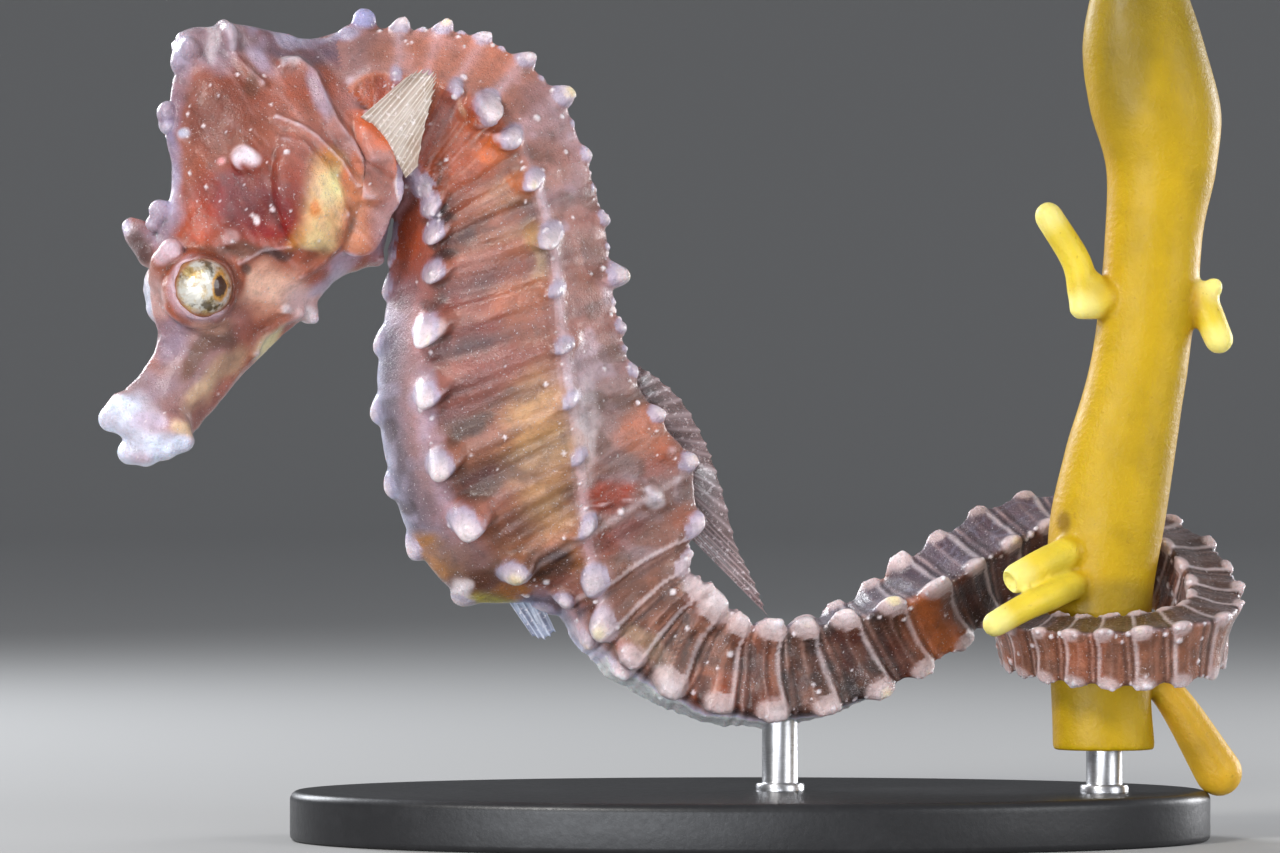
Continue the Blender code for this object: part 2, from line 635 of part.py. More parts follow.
def coronet():
    """The low crown: a saddle on the top of the head that flares up to five blunt points."""
    sections = []
    for row, flare, lift in CORONET_ROWS:
        feet = [head_point(row, CORONET_EDGE, side) for side in (1, -1)]
        ridge = head_point(row, 1.0, 1)
        bottom = [feet[0] + (0, -0.05, GAP), ridge + (0, 0, GAP), feet[1] + (0, 0.05, GAP)]
        top = [p * (1, flare, 1) + (0, 0, ridge[2] + GAP - p[2] + lift) for p in reversed(bottom)]
        top[1] = top[1] - (0, 0, 0.25)
        sections.append(turned(bottom + top))
    pieces = [loft("crown", sections)]
    for row, side, lift, way in CORONET_POINTS:
        foot = head_point(row, 1.0, 1) + (0, -side * 1.1, lift)
        pieces.append(knob("point", turned(foot), turned_way(way, foot), 0.65, 0.5, 6, 0.3))
    body_of("coronet", pieces)


# Fins

def fin(name, roots, tips, rays, rows=4, thickness=0.5, ridge=0.16):
    """A thin membrane between a root line and an edge line, with a raised ray on every other column."""
    shares = np.linspace(0, 1, 2 * rays - 1)
    roots, tips = (spline(np.column_stack([np.linspace(0, 1, len(line)), line]), shares)
                   for line in (roots, tips))
    grid = np.array([[a * (1 - s) + b * s for s in np.linspace(0, 1, rows)] for a, b in zip(roots, tips)])
    across = unit(np.cross(grid[-1, rows // 2] - grid[0, rows // 2], grid[rays, -1] - grid[rays, 0]))
    work = bmesh.new()
    faces = []
    for sign in (1, -1):
        layer = []
        for i, column in enumerate(grid):
            proud = thickness / 2 + (ridge if i % 2 == 0 else 0)
            layer.append([work.verts.new(p + across * sign * proud * (1 - 0.25 * j / (rows - 1)))
                          for j, p in enumerate(column)])
        faces.append(layer)
    front, back = faces
    for i in range(len(grid) - 1):
        for j in range(rows - 1):
            for layer in faces:
                a, b, c, d = layer[i][j], layer[i + 1][j], layer[i + 1][j + 1], layer[i][j + 1]
                work.faces.new((a, b, c))
                work.faces.new((a, c, d))
    edge = [(i, 0) for i in range(len(grid))] + [(len(grid) - 1, j) for j in range(1, rows)]
    edge += [(i, rows - 1) for i in range(len(grid) - 2, -1, -1)] + [(0, j) for j in range(rows - 2, 0, -1)]
    for (i, j), (k, m) in zip(edge, edge[1:] + edge[:1]):
        work.faces.new((front[i][j], front[k][m], back[k][m], back[i][j]))
    bmesh.ops.triangulate(work, faces=work.faces)
    bmesh.ops.recalc_face_normals(work, faces=work.faces)
    return body_of(name, [finish_mesh(name, work)])


def dorsal_fin():
    roots = [plain_point(r, (BACK_OF_BODY, 0), 1) + (0.45, 0, 0.1) for r in DORSAL_ROOT_RINGS]
    fin("dorsal_fin", roots, DORSAL_EDGE, 14)


def anal_fin():
    fin("anal_fin", ANAL_ROOT, ANAL_EDGE, 4, rows=3)


def pectoral_fins():
    for side, name in ((1, "pectoral_fin_left"), (-1, "pectoral_fin_right")):
        roots = [head_point(row, height, side, PECTORAL_PROUD) for row, height in PECTORAL_ROOT]
        edge = np.array(PECTORAL_EDGE) * (1, side, 1)
        fin(name, turned(roots), turned(edge), 10, rows=3)


# Seaweed and stand

def stem_section(z, sides=16):
    centre, half = stem_at(z)
    return [(centre + half * math.cos(a), STEM_Y + half * STEM_DEPTH * math.sin(a), z)
            for a in np.linspace(0, 2 * math.pi, sides, endpoint=False)]


def seaweed():
    heights = np.linspace(STEM_ROWS[0][0], STEM_ROWS[-1][0], 20)
    pieces = [loft("stem", [stem_section(z) for z in heights])]
    for points, radii in SHOOTS:
        run = np.linspace(0, len(points) - 1, 2 * len(points) - 1)
        rows = np.column_stack([np.arange(len(points)), points, radii])
        smooth = spline(rows, run) if len(points) > 2 else rows[:, 1:]
        pieces.append(tube("shoot", smooth[:, :3], smooth[:, 3], 8))
    body_of("perch_stem", pieces)


def stand():
    turns = np.linspace(0, 2 * math.pi, 48, endpoint=False)

    def oval(inset, z):
        length, width = BASE_LENGTH / 2 - inset, BASE_WIDTH / 2 - inset
        return [(length * math.cos(a), width * math.sin(a), z) for a in turns]

    plate = loft("plate", [oval(0, 0), oval(0, BASE_HEIGHT - BASE_EDGE), oval(BASE_EDGE, BASE_HEIGHT)])
    body_of("stand_base", [plate])
    foot = BASE_HEIGHT + GAP
    stem_x = stem_at(STEM_ROWS[0][0])[0]
    perch_rod = [(stem_x, STEM_Y, foot), (stem_x, STEM_Y, STEM_ROWS[0][0] - GAP)]
    body_of("stand_rod_perch", [tube("rod", perch_rod, (ROD_RADIUS, ROD_RADIUS), 20)])
    tail_z = float(np.interp(TAIL_ROD_X, TAIL_POINTS[:300, 0], TAIL_POINTS[:300, 2]))
    tail_rod = [(TAIL_ROD_X, 0, foot), (TAIL_ROD_X, 0, tail_z - TAIL_ROD_DROP - GAP)]
    body_of("stand_rod_tail", [tube("rod", tail_rod, (ROD_RADIUS, ROD_RADIUS), 20)])


# Finish of each node: red, green, blue, roughness, metallic.
FINISHES = {
    "flesh": (0.55, 0.33, 0.27, 0.4, 0.0),
    "eye": (0.75, 0.6, 0.3, 0.1, 0.6),
    "fin": (0.7, 0.66, 0.6, 0.35, 0.0),
    "seaweed": (0.8, 0.65, 0.05, 0.35, 0.0),
    "base": (0.03, 0.03, 0.03, 0.35, 0.0),
    "steel": (0.6, 0.6, 0.6, 0.3, 1.0),
}


def finish_of(name):
    words = {"eye": "eye", "fin": "_fin", "seaweed": "perch", "base": "stand_base", "steel": "stand_rod"}
    for key, word in words.items():
        if word in name:
            return key
    return "flesh"


def paint():
    for thing in MODEL.objects:
        key = finish_of(thing.name)
        finish = bpy.data.materials.get(key)
        if finish is None:
            red, green, blue, rough, metal = FINISHES[key]
            finish = bpy.data.materials.new(key)
            finish.use_nodes = True
            shader = finish.node_tree.nodes["Principled BSDF"]
            shader.inputs["Base Color"].default_value = (red, green, blue, 1)
            shader.inputs["Roughness"].default_value = rough
            shader.inputs["Metallic"].default_value = metal
        thing.data.materials.clear()
        thing.data.materials.append(finish)


def to_metres():
    for thing in MODEL.objects:
        points = np.empty(len(thing.data.vertices) * 3)
        thing.data.vertices.foreach_get("co", points)
        thing.data.vertices.foreach_set("co", points * MM)
        thing.data.shade_smooth()
        thing.data.set_sharp_from_angle(angle=math.radians(50))
        thing.data.update()


def build():
    for thing in list(bpy.data.objects):
        bpy.data.objects.remove(thing)
    bpy.context.scene.collection.children.link(MODEL)
    bpy.context.scene.collection.children.link(SCRATCH)
    body_lengths()
    head()
    snout()
    coronet()
    dorsal_fin()
    anal_fin()
    pectoral_fins()
    seaweed()
    stand()
    paint()
    to_metres()
    bpy.data.collections.remove(SCRATCH)


build()
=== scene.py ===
"""How the seahorse looks: one skin over the animal, its eyes and fins, the seaweed, the stand and the light.

Shapes are worked out in millimetres from the same named sizes as the solids and scaled to metres when each
piece is made. The head is laid out flat and then turned a little towards the animal's left, as in the solids.
"""

import functools
import math
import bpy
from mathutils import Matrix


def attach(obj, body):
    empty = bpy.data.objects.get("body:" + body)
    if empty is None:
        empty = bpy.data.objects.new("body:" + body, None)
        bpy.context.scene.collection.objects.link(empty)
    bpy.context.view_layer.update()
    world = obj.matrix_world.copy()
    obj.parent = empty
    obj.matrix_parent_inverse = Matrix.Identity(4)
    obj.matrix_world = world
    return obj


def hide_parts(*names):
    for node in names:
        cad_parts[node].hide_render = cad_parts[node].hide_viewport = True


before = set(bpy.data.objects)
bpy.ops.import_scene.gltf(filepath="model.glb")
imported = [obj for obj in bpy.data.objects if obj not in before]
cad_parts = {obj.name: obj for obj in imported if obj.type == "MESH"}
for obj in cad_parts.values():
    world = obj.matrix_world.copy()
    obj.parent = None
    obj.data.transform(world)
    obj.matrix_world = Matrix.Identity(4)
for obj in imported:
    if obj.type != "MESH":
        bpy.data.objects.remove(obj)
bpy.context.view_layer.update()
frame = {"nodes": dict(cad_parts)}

from types import SimpleNamespace

import bmesh
import bpy
import numpy as np
from mathutils import Matrix
from mathutils.kdtree import KDTree

MM = 0.001
SKIN_VOXEL = 0.1

# Sizes that the solids have too, in millimetres.
# Trunk: ring, X and Z of the back, X and Z of the belly, half width.
TRUNK_ROWS = (
    (-1.7, -21.2, 39.3, -19.3, 32.2, 2.4), (-0.9, -19.6, 40.4, -18.4, 32.4, 2.9),
    (0.0, -17.5, 40.5, -18.2, 32.0, 2.95), (2.0, -13.35, 40.05, -17.95, 31.2, 3.1),
    (4.0, -9.5, 37.1, -17.85, 30.1, 3.5), (6.0, -7.35, 31.1, -18.2, 27.6, 3.95),
    (8.0, -6.5, 25.7, -18.8, 21.4, 4.3), (9.0, -5.85, 23.5, -18.1, 17.65, 4.25),
    (10.0, -4.65, 21.35, -16.9, 14.6, 4.05), (11.0, -3.0, 19.0, -14.4, 11.9, 3.6),
    (12.0, -2.65, 15.9, -10.25, 11.7, 3.05), (13.0, -3.3, 14.1, -8.75, 9.75, 2.8),
    (14.0, -2.8, 12.75, -7.0, 8.0, 2.6), (15.0, -1.55, 11.65, -5.25, 6.85, 2.5),
)
BODY_START = -1.7
# Points of the head carry this ring number, and all below the next belong to it.
HEAD_RING = -5.0
HEAD_RINGS_BELOW = -4.0
PATCHED_RINGS_BELOW = 16
SATURATION = 1.34
TAIL_START_RING = 15
TAIL_RINGS = 48
# The tail's middle line up to the coil.
TAIL_LINE = (
    (-3.4, 0.0, 9.25), (-1.65, 0.0, 8.45), (0.3, 0.0, 8.15), (2.5, 0.0, 8.3), (4.8, 0.0, 9.05),
    (6.7, 0.15, 10.1), (8.4, 0.45, 11.15), (10.1, 1.0, 12.55), (11.85, 1.65, 13.8), (13.6, 2.3, 14.65),
    (15.45, 2.85, 15.0),
)
# Round the stem: angle in degrees, height, and how far off the stem it lies.
COIL_TURNS = (
    (88, 14.95, 0.5), (45, 13.75, 0.3), (15, 12.4, 0.45), (-15, 11.1, 1.05), (-45, 10.2, 1.8),
    (-70, 9.8, 1.3), (-95, 9.7, 0.7), (-135, 9.9, 0.35), (-180, 10.2, 0.25), (-225, 10.5, 0.05),
    (-270, 10.7, 0.0), (-300, 10.8, 0.0),
)
# Ring and half height of the tail, then ring and roll in degrees.
TAIL_HEIGHTS = (
    (15, 2.85), (16, 2.6), (17, 2.45), (18, 2.35), (19, 2.18), (20, 2.08), (22, 1.93), (25, 1.78),
    (30, 1.55), (34, 1.42), (38, 1.28), (41, 1.12), (44, 0.88), (46, 0.62), (48, 0.2),
)
TAIL_ROLLS = (
    (15, 0), (18, 2), (19, 8), (20, 17), (21, 27), (22, 32), (23, 32), (25, 20), (28, 0), (31, -14),
    (34, -20), (38, -20), (42, -14), (48, 0),
)
TAIL_FLATNESS = 0.84
COIL_CLEARANCE = 0.6
COIL_START_RING = 26
COIL_KNOTS = 27
RING_SHORTENING = 0.72
SHORTENING_POWER = 1.5
# Places of the three ridges: ring, share of the way up, share of the half width.
INFERIOR = (
    (-0.9, 0.24, 0.78), (4, 0.24, 0.76), (10, 0.23, 0.74), (11, 0.24, 0.72), (12, 0.13, 0.55),
    (14, 0.12, 0.5), (18, 0.04, 0.5), (48, 0.02, 0.5),
)
LATERAL = (
    (-0.9, 0.72, 1.0), (4, 0.72, 1.0), (7, 0.77, 1.0), (9, 0.75, 1.0), (10, 0.68, 1.0), (11, 0.53, 1.0),
    (12, 0.33, 0.98), (15, 0.24, 0.95), (18, 0.1, 0.9), (48, 0.08, 0.9),
)
SUPERIOR = (
    (-0.9, 1.0, 0.4), (10, 1.0, 0.42), (12, 1.0, 0.55), (13, 1.0, 0.74), (16, 1.0, 0.88),
    (48, 1.0, 0.9),
)
BACK_OF_BODY = 0.965
FLANK_BULGE = ((-0.9, 0.05), (9, 0.05), (13, -0.02), (18, -0.11), (48, -0.1))
FULL_RING_PACE = 1.1
# Head: X and Z of its upper and lower edge, half width, and how high up it is widest.
HEAD_ROWS = (
    (-19.9, 40.6, -18.45, 28.9, 3.0, 0.45), (-21.7, 40.1, -19.1, 28.6, 3.5, 0.42),
    (-23.9, 40.0, -20.4, 28.2, 3.7, 0.38), (-26.6, 39.7, -21.2, 27.6, 3.6, 0.38),
    (-28.65, 38.9, -21.7, 27.0, 3.3, 0.42), (-29.4, 35.6, -22.3, 26.3, 2.9, 0.5),
    (-29.35, 32.25, -22.9, 25.7, 2.55, 0.56), (-30.3, 29.1, -23.7, 25.0, 2.2, 0.62),
    (-30.35, 26.6, -24.7, 24.15, 1.8, 0.56), (-29.95, 24.8, -25.8, 23.2, 1.55, 0.5),
    (-30.8, 23.35, -26.8, 22.15, 1.45, 0.5), (-32.0, 22.2, -27.85, 21.0, 1.5, 0.5),
    (-32.95, 21.4, -28.3, 20.15, 1.65, 0.5), (-33.0, 20.8, -29.0, 19.4, 1.35, 0.5),
)
HEAD_TURN = math.radians(20)
TURN_X = -17.5
TURN_START_X = -16.5
TURN_FULL_X = -24.0
NECK_END = 3.5
EYE_CENTRE = (-28.4, 1.92, 27.5)
EYE_RADIUS = 1.7
# Sizes of the eye as shares of its radius.
EYEBALL_SHARE = 0.965
PUPIL_PLACE = 0.42
PUPIL_HALF_WIDTH = 0.2
PUPIL_HALF_HEIGHT = 0.36
ORBIT_RADIUS = 1.9
ORBIT_CENTRE = (-28.4, 1.6, 27.5)
# Stem: height, X of its middle, half width.
STEM_ROWS = ((4.6, 17.6, 2.6), (7.5, 17.45, 2.5), (12.0, 17.4, 2.6), (16.0, 17.78, 2.88),
             (19.5, 18.42, 2.75), (23.5, 19.28, 2.48), (27.5, 19.83, 2.45), (30.5, 20.08, 2.42),
             (33.5, 20.42, 2.75), (36.5, 20.12, 3.27), (39.5, 19.57, 3.08), (43.0, 19.27, 2.2))
STEM_Y = -1.6
STEM_DEPTH = 0.76
# Side shoots of the stem: the points of each and its radii there.
SHOOTS = (
    (((17.6, -2.4, 27.0), (16.6, -2.7, 26.9), (16.15, -2.8, 28.8), (14.75, -2.9, 31.1)),
     (0.9, 0.8, 0.75, 0.72)),
    (((16.9, -2.6, 27.6), (16.4, -2.9, 26.6)), (0.8, 0.66)),
    (((22.0, -1.8, 27.2), (22.4, -2.0, 27.0), (23.25, -2.2, 25.0)), (0.6, 0.78, 0.74)),
    (((22.3, -1.9, 26.9), (23.0, -2.1, 27.6)), (0.6, 0.5)),
    (((16.4, -2.6, 14.7), (14.5, -4.0, 13.9), (13.1, -4.7, 13.2)), (0.85, 0.82, 0.78)),
    (((16.2, -3.2, 12.9), (14.7, -5.1, 12.3), (13.3, -5.9, 11.75), (11.9, -6.6, 11.0)),
     (0.68, 0.7, 0.7, 0.66)),
    (((18.4, -1.1, 9.0), (20.8, -0.6, 7.4), (23.4, -0.4, 3.4)), (0.6, 0.85, 1.2)),
)
HOLLOW_SHOOT = 4
HOLLOW_RADIUS = 0.52
HOLLOW_DEPTH = 0.7
DORSAL_ROOT_RINGS = (9.1, 9.9, 10.7, 11.5, 12.1)
BASE_LENGTH = 46.0
BASE_WIDTH = 25.0
BASE_HEIGHT = 2.5
ROD_RADIUS = 0.9
# The flanged foot of each rod: share of the rod's radius, and height.
ROD_FOOT = ((0.9, 2.3), (1.35, 2.45), (1.35, 2.75), (1.28, 2.85), (1.02, 2.88), (1.0, 2.92))
TAIL_ROD_X = 1.5

# The camera stands level with the middle of the picture, 330 mm off, and a pixel is 0.05 mm there.
CAMERA_X = -5.5
CAMERA_Z = 20.675
CAMERA_FAR = 330.0
PIXEL = 0.05
PICTURE = (1280, 853)


# Curves and small sums

def spline(rows, at):
    """A smooth curve through rows of (parameter, values...), read at one parameter or an array of them."""
    rows = np.asarray(rows, float)
    knots, values = rows[:, 0], rows[:, 1:]
    at = np.atleast_1d(np.asarray(at, float))
    slopes = np.gradient(values, knots, axis=0)
    i = np.clip(np.searchsorted(knots, at, side="right") - 1, 0, len(knots) - 2)
    step = (knots[i + 1] - knots[i])[:, None]
    s = ((np.clip(at, knots[0], knots[-1]) - knots[i])[:, None]) / step
    return ((2 * s**3 - 3 * s**2 + 1) * values[i] + (s**3 - 2 * s**2 + s) * step * slopes[i]
            + (3 * s**2 - 2 * s**3) * values[i + 1] + (s**3 - s**2) * step * slopes[i + 1])


def blend(rows, at):
    """Straight-line reading of rows of (parameter, value)."""
    rows = np.asarray(rows, float)
    return np.interp(at, rows[:, 0], rows[:, 1])


def ease(share):
    share = np.clip(share, 0.0, 1.0)
    return share * share * (3 - 2 * share)


def between(value, low, high):
    """0 below low, 1 above high, and a smooth rise between them."""
    return ease((value - low) / (high - low))


def bell(value, middle, half_width):
    """1 at the middle, falling off smoothly on both sides."""
    return np.exp(-((value - middle) / half_width) ** 2)


def unit(vectors):
    vectors = np.asarray(vectors, float)
    return vectors / np.maximum(np.linalg.norm(vectors, axis=-1, keepdims=True), 1e-12)


def numbered(points):
    """Points with their place in the list in front, as spline rows."""
    return np.column_stack([np.arange(len(points)), points])


def lattice(cells, seed):
    """A repeatable number from -1 to 1 for each whole-number place."""
    cells = cells.astype(np.int64).astype(np.uint64)
    mixed = (cells[..., 0] * np.uint64(73856093)) ^ (cells[..., 1] * np.uint64(19349663))
    mixed ^= (cells[..., 2] * np.uint64(83492791)) + np.uint64(seed * 2654435761)
    mixed ^= mixed >> np.uint64(13)
    mixed *= np.uint64(0x9E3779B97F4A7C15)
    mixed ^= mixed >> np.uint64(31)
    return (mixed % np.uint64(65536)).astype(float) / 32767.5 - 1.0


def noise(points, size, seed):
    """Smooth noise from -1 to 1 whose lumps are about size millimetres across."""
    scaled = np.asarray(points, float) / size + 1000.0
    low = np.floor(scaled)
    share = ease(scaled - low)
    total = 0.0
    for corner in range(8):
        offset = np.array([corner & 1, corner >> 1 & 1, corner >> 2 & 1])
        weight = np.prod(np.where(offset == 1, share, 1 - share), axis=-1)
        total = total + weight * lattice(low + offset, seed)
    return total


def spots(points, size, seed, low, high):
    """Soft spots of 0 to 1, about size millimetres apart."""
    return between(noise(points, size, seed), low, high)


def linear(red, green, blue):
    """A colour from screen values of 0 to 255."""
    values = np.array([red, green, blue]) / 255
    return np.where(values <= 0.04045, values / 12.92, ((values + 0.055) / 1.055) ** 2.4)


# The animal's frame, as in the solids

def turned(points):
    """Points bent towards the animal's left about a vertical line through the neck, fully on the head."""
    points = np.array(points, float)
    share = np.clip((TURN_START_X - points[..., 0]) / (TURN_START_X - TURN_FULL_X), 0, 1)
    angle = HEAD_TURN * share * share * (3 - 2 * share)
    x, y = points[..., 0] - TURN_X, points[..., 1].copy()
    points[..., 0] = TURN_X + x * np.cos(angle) - y * np.sin(angle)
    points[..., 1] = x * np.sin(angle) + y * np.cos(angle)
    return points


def turned_way(way, at):
    at = np.asarray(at, float)
    return (turned(at + 0.01 * np.asarray(way, float)) - turned(at)) / 0.01


def stem_at(z):
    return spline(STEM_ROWS, z)[0]


def tail_half_height(ring):
    return float(blend(TAIL_HEIGHTS, ring))


def coil_point(angle, height, slack, ring):
    centre, half = stem_at(height)
    clear = tail_half_height(ring) * TAIL_FLATNESS + COIL_CLEARANCE + slack
    turn = math.radians(angle)
    return (centre + (half + clear) * math.cos(turn),
            STEM_Y + (half * STEM_DEPTH + clear) * math.sin(turn), height)


def tail_centre_line():
    """Points 0.1 mm or so apart along the tail, and the ring number of each."""
    angles = np.linspace(COIL_TURNS[0][0], COIL_TURNS[-1][0], COIL_KNOTS)
    heights = spline([(-a, h, slack) for a, h, slack in COIL_TURNS], -angles)
    rings = np.linspace(COIL_START_RING, TAIL_RINGS, len(angles))
    wrap = [coil_point(a, *h, r) for a, h, r in zip(angles, heights, rings)]
    knots = np.array(list(TAIL_LINE) + wrap)
    chord = np.concatenate([[0], np.cumsum(np.linalg.norm(np.diff(knots, axis=0), axis=1))])
    line = spline(np.column_stack([chord, knots]), np.linspace(0, chord[-1], 700))
    run = np.concatenate([[0], np.cumsum(np.linalg.norm(np.diff(line, axis=0), axis=1))])
    share = np.linspace(0, 1, 400)
    pace = 1 - RING_SHORTENING * share**SHORTENING_POWER
    travelled = np.concatenate([[0], np.cumsum((pace[1:] + pace[:-1]) / 2)])
    travelled *= run[-1] / travelled[-1]
    ring = np.interp(run, travelled, TAIL_START_RING + share * (TAIL_RINGS - TAIL_START_RING))
    return ring, line


TAIL_RING, TAIL_POINTS = tail_centre_line()


def tail_frame(ring):
    """Centre, dorsal half vector and unit vector to the animal's left, along the tail."""
    def at(r):
        return np.array([np.interp(r, TAIL_RING, TAIL_POINTS[:, k]) for k in range(3)])

    along = unit(at(min(ring + 0.3, TAIL_RINGS)) - at(ring - 0.3))
    up = unit(np.array([0, 0, 1.0]) - along[2] * along)
    left = np.cross(along, up)
    roll = math.radians(float(spline(TAIL_ROLLS, ring)[0, 0]))
    dorsal = up * math.cos(roll) + left * math.sin(roll)
    left = np.cross(along, dorsal)
    return at(ring), dorsal * tail_half_height(ring), left


@functools.cache
def body_frame(ring):
    """Centre, dorsal half vector, left unit vector and half width of the body at any ring."""
    row = spline(TRUNK_ROWS, min(ring, TAIL_START_RING))[0]
    dorsal, ventral, width = np.array([row[0], 0, row[1]]), np.array([row[2], 0, row[3]]), row[4]
    centre, half, left = (dorsal + ventral) / 2, (dorsal - ventral) / 2, np.array([0, -1.0, 0])
    if ring > TAIL_START_RING - 1:
        share = ease(ring - TAIL_START_RING + 1)
        tail_centre, tail_half, tail_left = tail_frame(max(ring, TAIL_START_RING))
        if ring < TAIL_START_RING:
            join = spline(TRUNK_ROWS, TAIL_START_RING)[0]
            join_centre = np.array([(join[0] + join[2]) / 2, 0, (join[1] + join[3]) / 2])
            tail_centre = tail_centre + centre - join_centre
        centre = centre * (1 - share) + tail_centre * share
        half = half * (1 - share) + tail_half * share
        left = unit(left * (1 - share) + tail_left * share)
        width = width * (1 - share) + tail_half_height(max(ring, TAIL_START_RING)) * TAIL_FLATNESS * share
    return centre, half, left, width


def photo_place(points):
    """Where points show in the picture, in its pixels."""
    points = np.asarray(points, float)
    nearness = CAMERA_FAR / (CAMERA_FAR + points[..., 1]) / PIXEL
    return np.stack([PICTURE[0] / 2 + (points[..., 0] - CAMERA_X) * nearness,
                     PICTURE[1] / 2 - (points[..., 2] - CAMERA_Z) * nearness], axis=-1)


def at_pixel(px, py, y):
    """The point that shows at a pixel of the picture, at a given distance to the animal's left."""
    depth = (CAMERA_FAR + y) / CAMERA_FAR * PIXEL
    return np.array([CAMERA_X + (px - PICTURE[0] / 2) * depth, y, CAMERA_Z - (py - PICTURE[1] / 2) * depth])


def unturned(points):
    """Where points were before the head was turned."""
    points = np.asarray(points, float)
    flat = points.copy()
    for _ in range(12):
        flat += points - turned(flat)
    return flat


# Meshes

def placed(name, data):
    thing = bpy.data.objects.new(name, data)
    bpy.context.scene.collection.objects.link(thing)
    return thing


def new_object(name, points, faces, scale=MM):
    mesh = bpy.data.meshes.new(name)
    mesh.from_pydata((np.asarray(points, float) * scale).tolist(), [], faces)
    mesh.validate()
    return placed(name, mesh)


def tube_faces(rows, count, capped=True):
    """Faces of rows of closed loops, with a fan on each end round one more point."""
    i, j = np.meshgrid(np.arange(rows - 1), np.arange(count), indexing="ij")
    k = (j + 1) % count
    faces = np.stack([i * count + j, i * count + k, (i + 1) * count + k, (i + 1) * count + j], axis=-1)
    faces = faces.reshape(-1, 4).tolist()
    if capped:
        first, last = rows * count, rows * count + 1
        faces += [[(j + 1) % count, j, first] for j in range(count)]
        top = (rows - 1) * count
        faces += [[top + j, top + (j + 1) % count, last] for j in range(count)]
    return faces


def closed_loft(sections):
    """Points and faces of a closed skin through equal loops."""
    sections = np.asarray(sections, float)
    rows, count = sections.shape[:2]
    points = np.vstack([sections.reshape(-1, 3), sections[0].mean(axis=0), sections[-1].mean(axis=0)])
    return points, tube_faces(rows, count)


def square_axes(along):
    along = unit(along)
    other = np.array([0, 1.0, 0]) if abs(along[1]) < 0.8 else np.array([1.0, 0, 0])
    first = unit(np.cross(along, other))
    return first, np.cross(along, first)


def lobe(points, radii, sides=20, steps=9, flat=None, thin=1.0):
    """A round-ended tapering form through points. Where flat is given, it is thinner that way."""
    shares = np.linspace(0, len(points) - 1, steps * len(points))
    line = spline(numbered(np.column_stack([points, radii])), shares)
    centres, radii = line[:, :3], line[:, 3]
    along = unit(np.gradient(centres, axis=0))
    angles = np.linspace(0, 2 * math.pi, sides, endpoint=False)
    sections = []

    def ring(centre, way, radius):
        first, second = square_axes(way)
        offsets = radius * (np.outer(np.cos(angles), first) + np.outer(np.sin(angles), second))
        if flat is not None:
            across = unit(flat)
            offsets = offsets - np.outer(offsets @ across, across) * (1 - thin)
        return centre + offsets

    for bend in np.linspace(0, math.pi / 2, 5)[:-1]:
        sections.append(ring(centres[0] - along[0] * radii[0] * math.cos(bend), along[0],
                             radii[0] * max(math.sin(bend), 0.05)))
    sections += [ring(c, a, r) for c, a, r in zip(centres, along, radii)]
    for bend in np.linspace(math.pi / 2, 0, 6)[1:]:
        sections.append(ring(centres[-1] + along[-1] * radii[-1] * math.cos(bend), along[-1],
                             radii[-1] * max(math.sin(bend), 0.05)))
    return closed_loft(sections)


def ball_rows(segments, rings):
    """Rows of points on a ball of radius 1, from its top to its bottom and without its two poles."""
    bends = np.linspace(0, math.pi, rings + 2)[1:-1]
    turns = np.linspace(0, 2 * math.pi, segments, endpoint=False)
    b, t = np.meshgrid(bends, turns, indexing="ij")
    return np.stack([np.sin(b) * np.cos(t), np.sin(b) * np.sin(t), np.cos(b)], axis=-1)


def egg(centre, axes):
    """Points and faces of an egg shape: axes are three vectors, each from the centre to the surface."""
    sections = ball_rows(28, 18) @ np.array(axes, float) + np.asarray(centre, float)
    points, faces = closed_loft(sections)
    points[-2] = np.asarray(centre) + np.array(axes[2])
    points[-1] = np.asarray(centre) - np.array(axes[2])
    return points, faces


def joined(forms):
    """Points and faces of several forms together."""
    points, faces, start = [], [], 0
    for some_points, some_faces in forms:
        points.append(some_points)
        faces += [[start + v for v in face] for face in some_faces]
        start += len(some_points)
    return np.vstack(points), faces


def remeshed(name, forms, voxel):
    """One closed surface round all the forms: its points and its four-sided faces."""
    points, faces = joined(forms)
    rough = new_object(name + "_rough", points, faces, scale=1.0)
    work = bmesh.new()
    work.from_mesh(rough.data)
    bmesh.ops.recalc_face_normals(work, faces=work.faces)
    work.to_mesh(rough.data)
    work.free()
    change = rough.modifiers.new("voxels", "REMESH")
    change.mode = "VOXEL"
    change.voxel_size = voxel
    graph = bpy.context.evaluated_depsgraph_get()
    mesh = bpy.data.meshes.new_from_object(rough.evaluated_get(graph))
    bpy.data.objects.remove(rough)
    return mesh


def mesh_points(mesh):
    points = np.empty(len(mesh.vertices) * 3)
    mesh.vertices.foreach_get("co", points)
    return points.reshape(-1, 3)


def mesh_normals(mesh):
    normals = np.empty(len(mesh.vertices) * 3)
    mesh.vertices.foreach_get("normal", normals)
    return normals.reshape(-1, 3)


def set_points(mesh, points):
    mesh.vertices.foreach_set("co", np.asarray(points, float).ravel())
    mesh.update()


